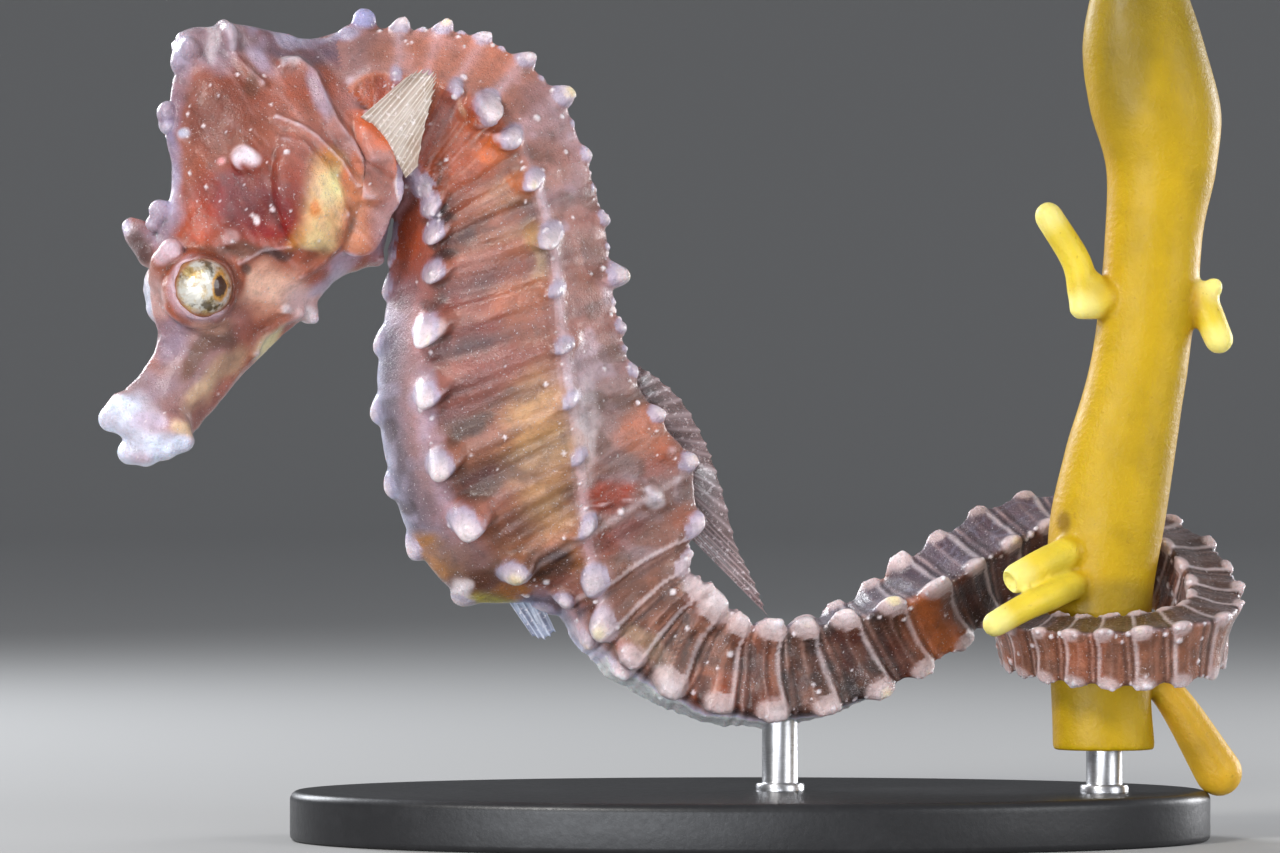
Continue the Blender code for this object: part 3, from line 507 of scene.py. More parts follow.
class Relaxer:
    """Averages values over each point's neighbours."""

    def __init__(self, mesh):
        edges = np.empty(len(mesh.edges) * 2, dtype=np.int32)
        mesh.edges.foreach_get("vertices", edges)
        pairs = edges.reshape(-1, 2)
        self.a = np.concatenate([pairs[:, 0], pairs[:, 1]])
        self.b = np.concatenate([pairs[:, 1], pairs[:, 0]])
        self.count = len(mesh.vertices)
        self.valence = np.maximum(np.bincount(self.a, minlength=self.count), 1)

    def mean(self, values):
        values = np.asarray(values, float)
        if values.ndim == 1:
            return np.bincount(self.a, values[self.b], self.count) / self.valence
        return np.column_stack([self.mean(values[:, k]) for k in range(values.shape[1])])

    def smooth(self, values, times, share=0.5):
        for _ in range(times):
            values = values * (1 - share) + self.mean(values) * share
        return values


def keep_main_shell(mesh):
    """Drops loose bits, such as hollows left inside."""
    work = bmesh.new()
    work.from_mesh(mesh)
    left, shells = set(work.verts), []
    while left:
        shell, front = set(), [left.pop()]
        while front:
            vertex = front.pop()
            shell.add(vertex)
            for edge in vertex.link_edges:
                other = edge.other_vert(vertex)
                if other in left:
                    left.remove(other)
                    front.append(other)
        shells.append(shell)
    if len(shells) > 1:
        largest = max(shells, key=len)
        bmesh.ops.delete(work, geom=[v for v in work.verts if v not in largest], context="VERTS")
        work.to_mesh(mesh)
    work.free()
    return mesh


# The body's own surface

SPAN_STEPS = 20
FLANK_TUBERCLE_TAIL = 1.7
AROUND = 8 * SPAN_STEPS
KEEL_PLACE, INFERIOR_PLACE, LATERAL_PLACE, SUPERIOR_PLACE = range(4)
# Tubercles: ridge, first and last ring, lean up, lean out, tilt to the tail, height, radius, sizes by ring.
RIDGES = (
    (KEEL_PLACE, 4, 12, -1.0, 0.0, 0.1, 0.5, 0.74, {}),
    (INFERIOR_PLACE, 2, 14, -0.35, 1.0, 0.7, 0.72, 0.62,
     {2: 0.4, 3: 0.75, 4: 0.75, 5: 0.8, 6: 0.8, 7: 1.5, 8: 1.05, 9: 1.3, 10: 1.75, 11: 1.2, 12: 0.9,
      13: 0.9}),
    (LATERAL_PLACE, 0, 11, 0.1, 1.0, 0.7, 0.62, 0.5,
     {0: 0.4, 1: 0.25, 2: 0.4, 3: 1.95, 4: 0.75, 5: 0.9, 6: 1.5, 7: 0.5, 8: 0.6, 9: 0.6, 10: 0.5, 11: 1.0}),
    (LATERAL_PLACE, 12, 46, -0.75, 0.75, 0.35, 0.6, 0.84,
     {12: 1.1, 13: 1.3, 15: 1.6, 17: 1.15, 19: 1.15, 22: 1.1, 30: 1.1}),
    (SUPERIOR_PLACE, 0, 11, 1.0, 0.35, 0.3, 0.44, 0.46,
     {0: 1.5, 1: 1.35, 2: 1.1, 3: 1.5, 4: 1.95, 7: 2.2, 10: 1.4, 11: 1.5}),
    (SUPERIOR_PLACE, 12, 46, 0.95, 0.5, 0.5, 0.56, 0.74,
     {12: 1.0, 13: 0.9, 14: 0.9, 15: 1.9, 16: 1.05, 17: 1.15, 18: 1.05, 19: 1.2, 20: 1.1, 21: 1.6,
      26: 1.2, 30: 1.15, 34: 1.1}),
)


def body_rings():
    return np.concatenate([np.arange(BODY_START, 15, 1 / 24), np.arange(15, 30, 1 / 28),
                           np.arange(30, 47.95, 1 / 16), [TAIL_RINGS]])


def smooth_round(values, spread):
    """Values softened round their closed second axis."""
    reach = np.arange(-4, 5)
    weights = np.exp(-0.5 * (reach / spread) ** 2)
    weights /= weights.sum()
    return sum(w * np.roll(values, int(k), axis=1) for w, k in zip(weights, reach))


RING_MIDDLE = 0.6
LOOP_SOFTNESS = 2.0
USUAL_SIZE = 0.85
TAIL_TUBERCLES_FROM = 11.5


def ring_wave(phase, middle=RING_MIDDLE):
    """1 at the middle of a ring and 0 between two rings."""
    return 0.5 + 0.5 * np.cos(2 * math.pi * (phase - middle))


def past_edge(phase):
    """How far a phase lies past the nearest edge between two rings."""
    return (phase + 0.5) % 1.0 - 0.5


def section_loops(rings):
    """How far up and out each point of each cross-section lies, and the places and sides round a section."""
    anchors = np.stack([np.zeros((len(rings), 2)), spline(INFERIOR, rings), spline(LATERAL, rings),
                        spline(SUPERIOR, rings), np.tile([BACK_OF_BODY, 0.0], (len(rings), 1))], axis=1)
    place = np.arange(4 * SPAN_STEPS + 1) / SPAN_STEPS
    span = np.minimum(place.astype(int), 3)
    share = place - span
    outline = anchors[:, span] * (1 - share)[None, :, None] + anchors[:, span + 1] * share[None, :, None]
    outline[..., 1] += 4 * share * (1 - share) * blend(FLANK_BULGE, rings)[:, None]
    around = np.concatenate([place, place[-2:0:-1]])
    side = np.concatenate([np.ones(len(place)), -np.ones(len(place) - 2)])
    loop = smooth_round(np.concatenate([outline, outline[:, -2:0:-1] * (1, -1)], axis=1), LOOP_SOFTNESS)
    return 2 * loop[..., 0] - 1, loop[..., 1], around, side


def body_relief(points, ring, place, side, phase):
    """How far the folds, ribs and fibres of the trunk and tail stand out."""
    wander = noise(points, 2.4, 3) * 0.45 + noise(points, 0.9, 4) * 0.12
    lines = np.sin(2 * math.pi * (phase * 5.0 + wander))
    flow = np.stack(np.broadcast_arrays(ring * 8, place * 1.7, side * 9.0), axis=-1)
    fibres = noise(flow, 1.0, 6) + 0.6 * noise(flow * (2.1, 1.9, 1.0), 1.0, 7)
    fold = ring_wave(phase) ** 1.3
    young, low = between(ring, 1.5, 5.0), between(ring, 8.0, 9.5)
    flank = between(place, 0.55, 1.0) * (1 - between(place, 1.8, 2.0))
    back = between(place, 2.0, 2.2) * (1 - 0.5 * between(place, 3.3, 3.8))
    lift = np.where(phase < 0.8, (phase / 0.8) ** 1.6, 1 - between(phase, 0.8, 0.93))
    trunk = flank * (0.2 * fold * young + 0.022 * lines + 0.045 * fibres)
    trunk = trunk + back * (0.1 * (lift - 0.4) * low + 0.07 * fold * young * (1 - low) + 0.02 * lines
                            + 0.03 * fibres + 0.05 * noise(points, 0.9, 9))
    crest = bell(place, 1.95, 0.13) * (0.16 + 0.14 * fold) - 0.12 * back * (1 - between(place, 2.5, 2.9))
    trunk = trunk + crest * between(ring, 1.0, 3.0) * (1 - between(ring, 8.6, 10.5))
    hump = 1 - np.abs(2 * phase**0.85 - 1) ** 2.2
    tail = 0.24 * (hump - 0.65) * (0.5 + 0.5 * between(place, 0.3, 0.9)) + 0.022 * fibres + 0.02 * lines
    tail = tail + 0.1 * bell(phase, 0.8, 0.05) + 0.07 * bell(phase, 0.42 + 0.05 * wander, 0.05)
    tail = tail + 0.17 * bell(past_edge(phase), 0, 0.05) + 0.07 * noise(points, 0.7, 10)
    share = between(ring, 11.0, 13.5)
    return trunk * (1 - share) + tail * share


def tubercles():
    """Every tubercle: ridge, ring, side, lean up, lean out, tilt to the tail, height, radius and size."""
    for ridge, first, last, lean_up, lean_out, tilt, height, radius, sizes in RIDGES:
        for ring in range(first, last + 1):
            size = sizes.get(ring, USUAL_SIZE)
            for side in (1,) if ridge == KEEL_PLACE else (1, -1):
                yield ridge, ring, side, lean_up, lean_out, tilt, height * size, radius, size
    for ring in range(9):
        for side in (1, -1):
            yield SUPERIOR_PLACE, ring + 0.5, side, 1.0, 0.3, 0.1, 0.16, 0.28, 0.5


def raise_tubercles(body):
    """How far the tubercles push every point of the body, and how pale it is on them."""
    push, mound = np.zeros_like(body.points), np.zeros(body.points.shape[:2])
    for ridge, number, side, lean_up, lean_out, tilt, height, radius, size in tubercles():
        rows = np.nonzero(np.abs(body.rings - number) < 0.95)[0]
        middle = np.argmin(np.abs(body.rings - number))
        column = ridge * SPAN_STEPS if side == 1 else AROUND - ridge * SPAN_STEPS
        way = unit(unit(body.half[middle]) * lean_up + body.left[middle] * side * lean_out)
        way = way + tilt * body.ahead[middle]
        vary = 1 + 0.16 * math.sin(12.9 * number + 4.1 * side + ridge)
        in_coil = number > COIL_START_RING - 1 and side == 1
        tall = height * vary * (0.6 if in_coil else 1.0)
        reach = radius * (0.75 + 0.35 * size) * body.girth[middle] ** 0.55
        on_tail = number > TAIL_TUBERCLES_FROM
        on_flank = not on_tail and ridge in (INFERIOR_PLACE, LATERAL_PLACE)
        along = (body.rings[rows] - number)[:, None] * body.pace[rows] / reach
        along = np.where(along < 0, along / (1.3 if on_flank else 1.15), along)
        whole = body.arc[rows, -1][:, None]
        gap = (body.arc[rows] - body.arc[rows, column][:, None] + whole / 2) % whole - whole / 2
        pale = gap
        if on_flank or on_tail and ridge in (LATERAL_PLACE, SUPERIOR_PLACE):
            to_back = ridge == INFERIOR_PLACE or on_tail and ridge == LATERAL_PLACE
            inward = gap * side * (1 if to_back else -1) > 0
            stretch = FLANK_TUBERCLE_TAIL if on_flank else 2.0 if ridge == LATERAL_PLACE else 1.5
            pale = np.where(inward, gap / 1.15, gap / 1.8 if on_flank else gap)
            gap = np.where(inward, gap / stretch, gap / 1.35 if on_flank else gap)
        peak = np.clip(1 - along**2 - (gap / reach) ** 2, 0, 1)
        push[rows] += way * (peak**0.85 * tall * body.room[rows])[..., None]
        white = np.clip(1 - along**2 - (pale / reach) ** 2, 0, 1)
        mound[rows] = np.maximum(mound[rows], white**1.2 * min(1.0, 0.8 * vary * size**0.8))
    return push, mound


def body_surface():
    """The trunk's and tail's points, with each one's ring, place round the section, side and paleness."""
    body = SimpleNamespace(rings=body_rings())
    rings = body.rings
    frames = [body_frame(float(r)) for r in rings]
    centre, body.half, body.left = (np.array([f[k] for f in frames]) for k in range(3))
    out_half = body.left * np.array([f[3] for f in frames])[:, None]
    up, out, around, side = section_loops(rings)
    up, out = up[..., None], out[..., None]
    body.points = centre[:, None] + body.half[:, None] * up + out_half[:, None] * out
    outward = unit((body.half / (body.half**2).sum(axis=1, keepdims=True))[:, None] * up
                   + (out_half / (out_half**2).sum(axis=1, keepdims=True))[:, None] * out)
    body.pace = np.linalg.norm(np.gradient(body.points, rings, axis=0), axis=2)
    body.girth = np.minimum(1.0, blend(TAIL_HEIGHTS, np.maximum(rings, 16)) / tail_half_height(16))
    body.room = np.minimum(1.0, body.pace / FULL_RING_PACE) * body.girth[:, None]
    steps = np.linalg.norm(np.diff(body.points, axis=1), axis=2)
    body.arc = np.concatenate([np.zeros((len(rings), 1)), np.cumsum(steps, axis=1)], axis=1)
    body.ahead = unit(np.gradient(centre, rings, axis=0))
    phase = (rings[:, None] + RING_MIDDLE + 0.05 * noise(body.points, 1.7, 5)) % 1.0
    relief = body_relief(body.points, rings[:, None], around[None], side[None], phase) * body.room
    push, mound = raise_tubercles(body)
    points = body.points + outward * relief[..., None] + push
    early = rings <= NECK_END
    points[early] = turned(points[early])
    return {"points": points, "ring": np.repeat(rings[:, None], AROUND, 1), "phase": phase, "mound": mound,
            "place": np.tile(around, (len(rings), 1)), "side": np.tile(side, (len(rings), 1))}


# The head's own surface

HEAD_SIDE_STEPS = 60


def head_frame(row):
    values = spline(numbered(HEAD_ROWS), row)
    return values[:, 0:2], values[:, 2:4], values[:, 4], values[:, 5]


def head_point(row, height, side):
    """A point of the head's side before the head is turned."""
    upper, lower, width, peak = (v[0] for v in head_frame(row))
    power = math.log(0.5) / math.log(peak)
    out = width * math.sin(math.pi * min(1.0, max(0.0, height)) ** power) ** 0.62 if 0 < height < 1 else 0.0
    flat = lower + (upper - lower) * height
    return np.array([flat[0], -side * out, flat[1]])


def head_surface():
    rows = np.concatenate([[-0.45, -0.2], np.arange(0.0, 13.001, 0.045)])
    upper, lower, width, peak = head_frame(np.maximum(rows, 0))
    heights = (1 - np.cos(math.pi * np.arange(HEAD_SIDE_STEPS + 1) / HEAD_SIDE_STEPS)) / 2
    power = math.log(0.5) / np.log(peak)
    out = width[:, None] * np.abs(np.sin(math.pi * heights[None] ** power[:, None])) ** 0.62
    flat = lower[:, None] + (upper - lower)[:, None] * heights[None, :, None]
    near = np.stack([flat[..., 0], -out, flat[..., 1]], axis=-1)
    far = near[:, -2:0:-1] * (1, -1, 1)
    points = np.concatenate([near, far], axis=1)
    inset = np.maximum(-rows, 0)[:, None]
    middle = points.mean(axis=1, keepdims=True)
    points = points + (middle - points) * inset[..., None] * 1.2 + np.array([2.2, 0, -0.9]) * inset[..., None]
    side = np.concatenate([np.ones(HEAD_SIDE_STEPS + 1), -np.ones(HEAD_SIDE_STEPS - 1)])
    return {"flat": points, "points": turned(points), "side": np.tile(side, (len(rows), 1))}


BODY = body_surface()
HEAD = head_surface()
HEAD_NEAR = HEAD["side"] > 0
HEAD_NEAR_FLAT = HEAD["flat"][HEAD_NEAR]
HEAD_NEAR_PHOTO = photo_place(HEAD["points"][HEAD_NEAR])


def on_head(px, py):
    """The point of the head's near side, before it is turned, that shows at a pixel of the picture."""
    return HEAD_NEAR_FLAT[np.argmin(((HEAD_NEAR_PHOTO - (px, py)) ** 2).sum(axis=1))]


def both_sides(point):
    """A point or way of the near side and its mirror image."""
    return [np.asarray(point, float) * (1, side, 1) for side in (1, -1)]


DOT_SEED = 7
HEAD_DOTS = 95
# Blunt spines on both sides of the head: pixel, way, length, foot and tip radius.
HEAD_LOBES = (
    (245, 160, (-0.1, -1.0, 0.05), 0.55, 0.66, 0.46),
    (312, 314, (0.55, -0.5, -0.8), 0.7, 0.62, 0.28),
    (388, 184, (1.0, -0.55, -0.02), 1.55, 0.66, 0.42),
    (182, 134, (-0.9, -0.5, 0.2), 0.3, 0.45, 0.25),
    (196, 220, (-0.3, -1.0, 0.3), 0.16, 0.36, 0.24),
    (230, 240, (-0.1, -1.0, 0.35), 0.3, 0.42, 0.28),
    (284, 308, (0.1, -1.0, -0.1), 0.24, 0.38, 0.24),
    (292, 66, (0.2, -0.7, 0.7), 0.2, 0.5, 0.3),
    (222, 161, (-0.1, -1.0, 0.0), 0.06, 0.28, 0.18),
    (189, 134, (-0.3, -1.0, 0.0), 0.08, 0.3, 0.2),
    (258, 222, (-0.1, -1.0, 0.0), 0.06, 0.28, 0.2),
    (376, 262, (0.2, -0.4, -0.9), 0.35, 0.5, 0.34),
)
# The gill cover's flap, down its hind edge: pixel, half width, half thickness.
GILL_FLAP = (
    (340, 156, 0.8, 0.34), (364, 184, 1.95, 0.4), (364, 212, 1.45, 0.36), (357, 238, 1.2, 0.34),
    (350, 256, 0.8, 0.28),
)
FLAP_Y = -3.3
# Knobs on the middle line of the head: pixel, distance to the left, radius.
HEAD_KNOBS = (
    (168, 113, -4.1, 0.46), (169, 124, -4.1, 0.36), (160, 210, -4.3, 0.54), (153, 224, -4.3, 0.4),
    (182, 38, -4.0, 0.42), (196, 36, -3.9, 0.36), (213, 37, -3.7, 0.38), (228, 35, -3.5, 0.34),
    (242, 33, -3.2, 0.4), (179, 64, -4.0, 0.28), (334, 44, -1.6, 0.4), (348, 35, -1.2, 0.55),
    (364, 20, -0.9, 0.62), (372, 34, -0.9, 0.5),
)
# Soft lobes of the lips and the closed mouth: pixel, half width across the picture and across the head.
MOUTH_LOBES = (
    (111, 418, 0.7, 0.95), (123, 407, 0.8, 1.1), (130, 422, 0.85, 1.2), (129, 453, 0.62, 1.0),
    (146, 455, 0.6, 1.15), (165, 449, 0.62, 1.2), (183, 441, 0.66, 1.1), (150, 437, 0.95, 1.3),
    (172, 428, 0.95, 1.35), (138, 441, 0.6, 1.2),
)
MOUTH_Y = -5.1
MOUTH_MIDDLE = (146, 434)
FAR_BROW_FOOT = (-30.15, 1.25, 29.7)
# The lobe over the near eye, and the cushion at the side fin's foot: pixel, distance to the left, radius.
NEAR_BROW = (
    (160, 280, -4.7, 0.6), (164, 263, -5.3, 0.66), (171, 249, -5.9, 0.58),
)
FIN_CUSHION = (
    (357, 116, -3.1, 0.45), (368, 134, -3.35, 0.72), (380, 152, -3.4, 0.72), (393, 170, -3.3, 0.5),
)


def strap(line, widths, thicks, across):
    """A rounded band through points, wide one way and thin the other."""
    shares = np.linspace(0, len(line) - 1, 10 * len(line))
    rows = spline(numbered(np.column_stack([line, widths, thicks])), shares)
    centres, wide, thin = rows[:, :3], rows[:, 3], rows[:, 4]
    along = unit(np.gradient(centres, axis=0))
    share = np.linspace(0, 1, len(rows))
    taper = np.sqrt(np.clip(1 - np.abs(2 * share - 1) ** 6, 0.0004, 1))
    angles = np.linspace(0, 2 * math.pi, 24, endpoint=False)
    thin_way = unit(across - (along @ across)[:, None] * along)
    wide_way = np.cross(along, thin_way)
    sections = centres[:, None] + taper[:, None, None] * (
        np.cos(angles)[None, :, None] * (wide_way * wide[:, None])[:, None]
        + np.sin(angles)[None, :, None] * (thin_way * thin[:, None])[:, None])
    return closed_loft(sections)


def head_forms():
    """The forms that stand on the head: brow lobes, spines, gill covers and their flaps."""
    forms = []
    for px, py, way, length, foot_radius, tip_radius in HEAD_LOBES:
        for foot, lean in zip(both_sides(on_head(px, py)), both_sides(way)):
            lean = unit(turned_way(lean, foot))
            start = turned(foot) - lean * 0.5
            middle, tip = start + lean * (0.4 + length * 0.5), start + lean * (0.5 + length - tip_radius)
            radii = [foot_radius, (foot_radius + tip_radius) * 0.52, tip_radius]
            forms.append(lobe([start, middle, tip], radii))
    lean = unit(turned_way((-0.75, 1.2, 1.1), FAR_BROW_FOOT))
    start = turned(FAR_BROW_FOOT) - lean * 0.4
    forms.append(lobe([start, start + lean * 1.0, start + lean * 1.9], [0.95, 0.76, 0.5]))
    forms.append(lobe([at_pixel(*row[:3]) for row in NEAR_BROW], [row[3] for row in NEAR_BROW]))
    cushion = unturned([at_pixel(*row[:3]) for row in FIN_CUSHION])
    forms += [lobe(turned(cushion * (1, side, 1)), [row[3] for row in FIN_CUSHION]) for side in (1, -1)]
    forms += [egg(at_pixel(px, py, y), np.eye(3) * radius) for px, py, y, radius in HEAD_KNOBS]
    for centre in both_sides((-22.7, -2.75, 32.6)):
        side = -np.sign(centre[1])
        axes = ((2.6, side * 0.2, 0.6), (0, -side * 1.15, 0), (-0.6, 0, 3.3))
        forms.append(egg(turned(centre), [turned_way(a, centre) for a in axes]))
    forms += [egg(turned(centre), np.eye(3) * ORBIT_RADIUS) for centre in both_sides(ORBIT_CENTRE)]
    edge = unturned([at_pixel(px, py, FLAP_Y) for px, py, _, _ in GILL_FLAP])
    widths, thicks = [row[2] for row in GILL_FLAP], [row[3] for row in GILL_FLAP]
    for side in (1, -1):
        line = edge * (1, side, 1)
        forms.append(strap(turned(line), widths, thicks, turned_way((0.15, side, 0), line[1])))
    return forms


# Points of the crown: row of the head, side, lift, way and length.
CORONET_POINTS = ((3.95, 1, 0.2, (-0.5, -0.8, 0.8), 0.9), (3.95, -1, 0.2, (-0.5, 0.8, 0.8), 0.9),
                  (3.0, 1, 0.1, (0.1, -1.0, 0.8), 0.8), (3.0, -1, 0.1, (0.1, 1.0, 0.8), 0.8),
                  (2.65, 0, 0.1, (0.9, 0, 0.6), 0.45))


def coronet_forms():
    """The crown: a low saddle that rises to five blunt points."""
    forms = []
    ridge = [head_point(row, 1.0, 1) for row in (4.1, 3.8, 3.4, 3.0, 2.6, 2.2, 1.7)]
    lifts = (0.15, 0.5, 0.3, 0.35, 0.25, 0.05, -0.15)
    spine = [turned(p + (0, 0, lift - 0.1)) for p, lift in zip(ridge, lifts)]
    forms.append(lobe(spine, [0.6, 0.75, 0.7, 0.66, 0.6, 0.5, 0.4], flat=(0, 1, 0.3), thin=1.35))
    for row, side, lift, way, length in CORONET_POINTS:
        foot = head_point(row, 1.0, 1) + (0, -side * 0.6, lift)
        lean = unit(turned_way(way, foot))
        start = turned(foot)
        forms.append(lobe([start - lean * 0.5, start + lean * length * 0.5, start + lean * (length - 0.3)],
                          [0.66, 0.52, 0.36]))
    return forms


def mouth_forms():
    forms = []
    for px, py, half, across in MOUTH_LOBES:
        centre = unturned(at_pixel(px, py, MOUTH_Y))
        forms.append(egg(turned(centre), [turned_way(way, centre) for way in np.diag([half, across, half])]))
    return forms


# Folds and ridges of the head, each a line of pixels of the picture, with its height and half width.
HEAD_CRESTS = (
    (((283, 66), (296, 63), (313, 77), (322, 100), (334, 123), (349, 143), (359, 162), (364, 196)),
     0.34, 0.3),
    (((276, 118), (290, 123), (315, 140), (340, 162), (354, 186)), 0.2, 0.2),
    (((283, 140), (302, 146), (322, 166), (338, 190), (345, 214)), 0.1, 0.22),
    (((363, 116), (377, 128), (389, 147), (398, 162), (406, 176)), 0.22, 0.22),
    (((345, 214), (340, 240), (322, 262), (300, 276)), 0.16, 0.22),
    (((178, 60), (172, 100), (168, 150), (160, 200)), 0.16, 0.3),
    (((226, 40), (236, 60), (262, 84)), 0.2, 0.24),
    (((172, 306), (186, 322), (205, 326), (226, 318)), 0.14, 0.2),
    (((165, 338), (150, 362), (128, 386)), 0.12, 0.2),
    (((252, 352), (262, 336), (282, 322), (300, 312)), 0.2, 0.2),
    (((196, 426), (216, 400), (238, 372), (254, 352)), 0.12, 0.2),
    (((240, 262), (262, 250), (290, 246)), 0.16, 0.2),
)
# Lobes of the flank off the ridges: pixel, half sizes in pixels, turn in degrees, height.
SKIN_LOBES = (
    (650, 494, 17, 10, 38, 0.55), (484, 108, 24, 6, 64, 0.16), (458, 96, 24, 6, 84, 0.16),
    (500, 138, 26, 9, 22, 0.3), (413, 560, 11, 12, 0, 0.25), (462, 590, 10, 12, 0, 0.3),
    (600, 505, 26, 4, -8, 0.1), (575, 338, 7, 16, 0, 0.16), (628, 500, 20, 5, 10, 0.12),
    (670, 450, 14, 8, 30, 0.2),
)


def line_distance(places, line):
    """The shortest distance from each place to a line of points, in pixels."""
    line = np.asarray(line, float)
    nearest = np.full(len(places), 1e9)
    for a, b in zip(line, line[1:]):
        ahead = b - a
        share = np.clip(((places - a) @ ahead) / (ahead @ ahead), 0, 1)
        gap = places - (a + share[:, None] * ahead)
        nearest = np.minimum(nearest, (gap**2).sum(axis=1))
    return np.sqrt(nearest)


def skin_mesh():
    """One closed skin round the whole animal, in millimetres, softer on the mouth, crown and face."""
    forms = [closed_loft(BODY["points"]), closed_loft(HEAD["points"])]
    forms += [*head_forms(), *coronet_forms(), *mouth_forms()]
    mesh = keep_main_shell(remeshed("skin", forms, SKIN_VOXEL))
    mesh.name = "seahorse_skin"
    relax = Relaxer(mesh)
    points = relax.smooth(mesh_points(mesh), 3)
    mouth = 1 - between(np.linalg.norm(points - at_pixel(*MOUTH_MIDDLE, MOUTH_Y), axis=1), 2.6, 3.6)
    crown = between(points[:, 2], 37.4, 38.4) * (1 - between(points[:, 0], -19.5, -18.0))
    face = (1 - between(points[:, 0], -21.0, -19.0)) * 0.5
    for share, times in ((mouth, 7), (crown, 6), (face, 2)):
        soft = relax.smooth(points, times * 4)
        points = points + (soft - points) * share[:, None]
    set_points(mesh, points)
    return mesh, relax, points


def source_places():
    """The laid-out points, and the picture place, ring, place, side, phase and mound of each."""
    flip = (-np.arange(AROUND)) % AROUND
    near_body = np.where((BODY["side"] < 0)[..., None], BODY["points"][:, flip], BODY["points"])
    near_head = np.where((HEAD["side"] < 0)[..., None], turned(HEAD["flat"] * (1, -1, 1)), HEAD["points"])
    charts = np.vstack([photo_place(near).reshape(-1, 2) for near in (near_body, near_head)])
    points = np.vstack([surface["points"].reshape(-1, 3) for surface in (BODY, HEAD)])
    extra = np.zeros((len(points), 5))
    body_count = BODY["ring"].size
    keys = ("ring", "place", "side", "phase", "mound")
    extra[:body_count] = np.column_stack([BODY[key].ravel() for key in keys])
    extra[body_count:, 0] = HEAD_RING
    extra[body_count:, 2] = HEAD["side"].ravel()
    return points, np.hstack([charts, extra])


def carried_places(points, relax):
    """For each point of the skin, the places of the laid-out points nearest to it."""
    sources, values = source_places()
    tree = KDTree(len(sources))
    for index, place in enumerate(sources.tolist()):
        tree.insert(place, index)
    tree.balance()
    nearest = np.empty((len(points), 3), dtype=np.int64)
    gaps = np.empty((len(points), 3))
    for index, place in enumerate(points.tolist()):
        for slot, (_, found, gap) in enumerate(tree.find_n(place, 3)):
            nearest[index, slot] = found
            gaps[index, slot] = gap
    ring, phase = values[nearest, 2], values[nearest, 5]
    same = (ring < HEAD_RINGS_BELOW) == (ring[:, :1] < HEAD_RINGS_BELOW)
    same &= np.abs(phase - phase[:, :1]) < 0.5
    weights = same / (gaps + 0.03) ** 2
    weights /= weights.sum(axis=1, keepdims=True)
    places = (values[nearest] * weights[..., None]).sum(axis=1)
    places[:, :2] = relax.smooth(places[:, :2], 10)
    return places


def shaped(mesh, relax, places):
    """Fine forms raised on the skin, and what its colours need."""
    points, normals = mesh_points(mesh), mesh_normals(mesh)
    chart, ring, place, phase, mound = places[:, :2], places[:, 2], places[:, 3], places[:, 5], places[:, 6]
    head = ring < HEAD_RINGS_BELOW
    lift = np.zeros(len(points))
    for line, tall, wide in HEAD_CRESTS:
        lift += head * tall * bell(line_distance(chart, line) * PIXEL, 0, wide)
    lift = relax.smooth(lift, 2) * 1.25
    for px, py, rx, ry, turn, tall in SKIN_LOBES:
        near = np.exp(-1.4 * oval(chart, px, py, rx, ry, turn) ** 2)
        lift += ~head * (ring < PATCHED_RINGS_BELOW) * tall * near
    lump = noise(points, 1.3, 1) * 0.07 + noise(points, 0.55, 2) * 0.035
    lift += lump * np.where(head, 1.0, 0.5)
    lift += head * 0.012 * noise(head_grain(chart), 1.0, 8)
    dots, glow = white_dots(points, normals, places)
    lift += dots
    points = points + normals * lift[:, None]
    points = open_eyes(points)
    set_points(mesh, points)
    normals = mesh_normals(mesh)
    bend = -((relax.mean(points) - points) * normals).sum(axis=1) / SKIN_VOXEL
    sharp = relax.smooth(bend, 2)
    broad = relax.smooth(bend, 12)
    return sharp, broad, glow


def head_grain(chart):
    """Places for noise that is drawn out along the head, from the crown down to the gill and the mouth."""
    along, across = chart @ (0.62, 0.78), chart @ (0.78, -0.62)
    return np.column_stack([along / 34, across / 7, np.zeros(len(chart))])


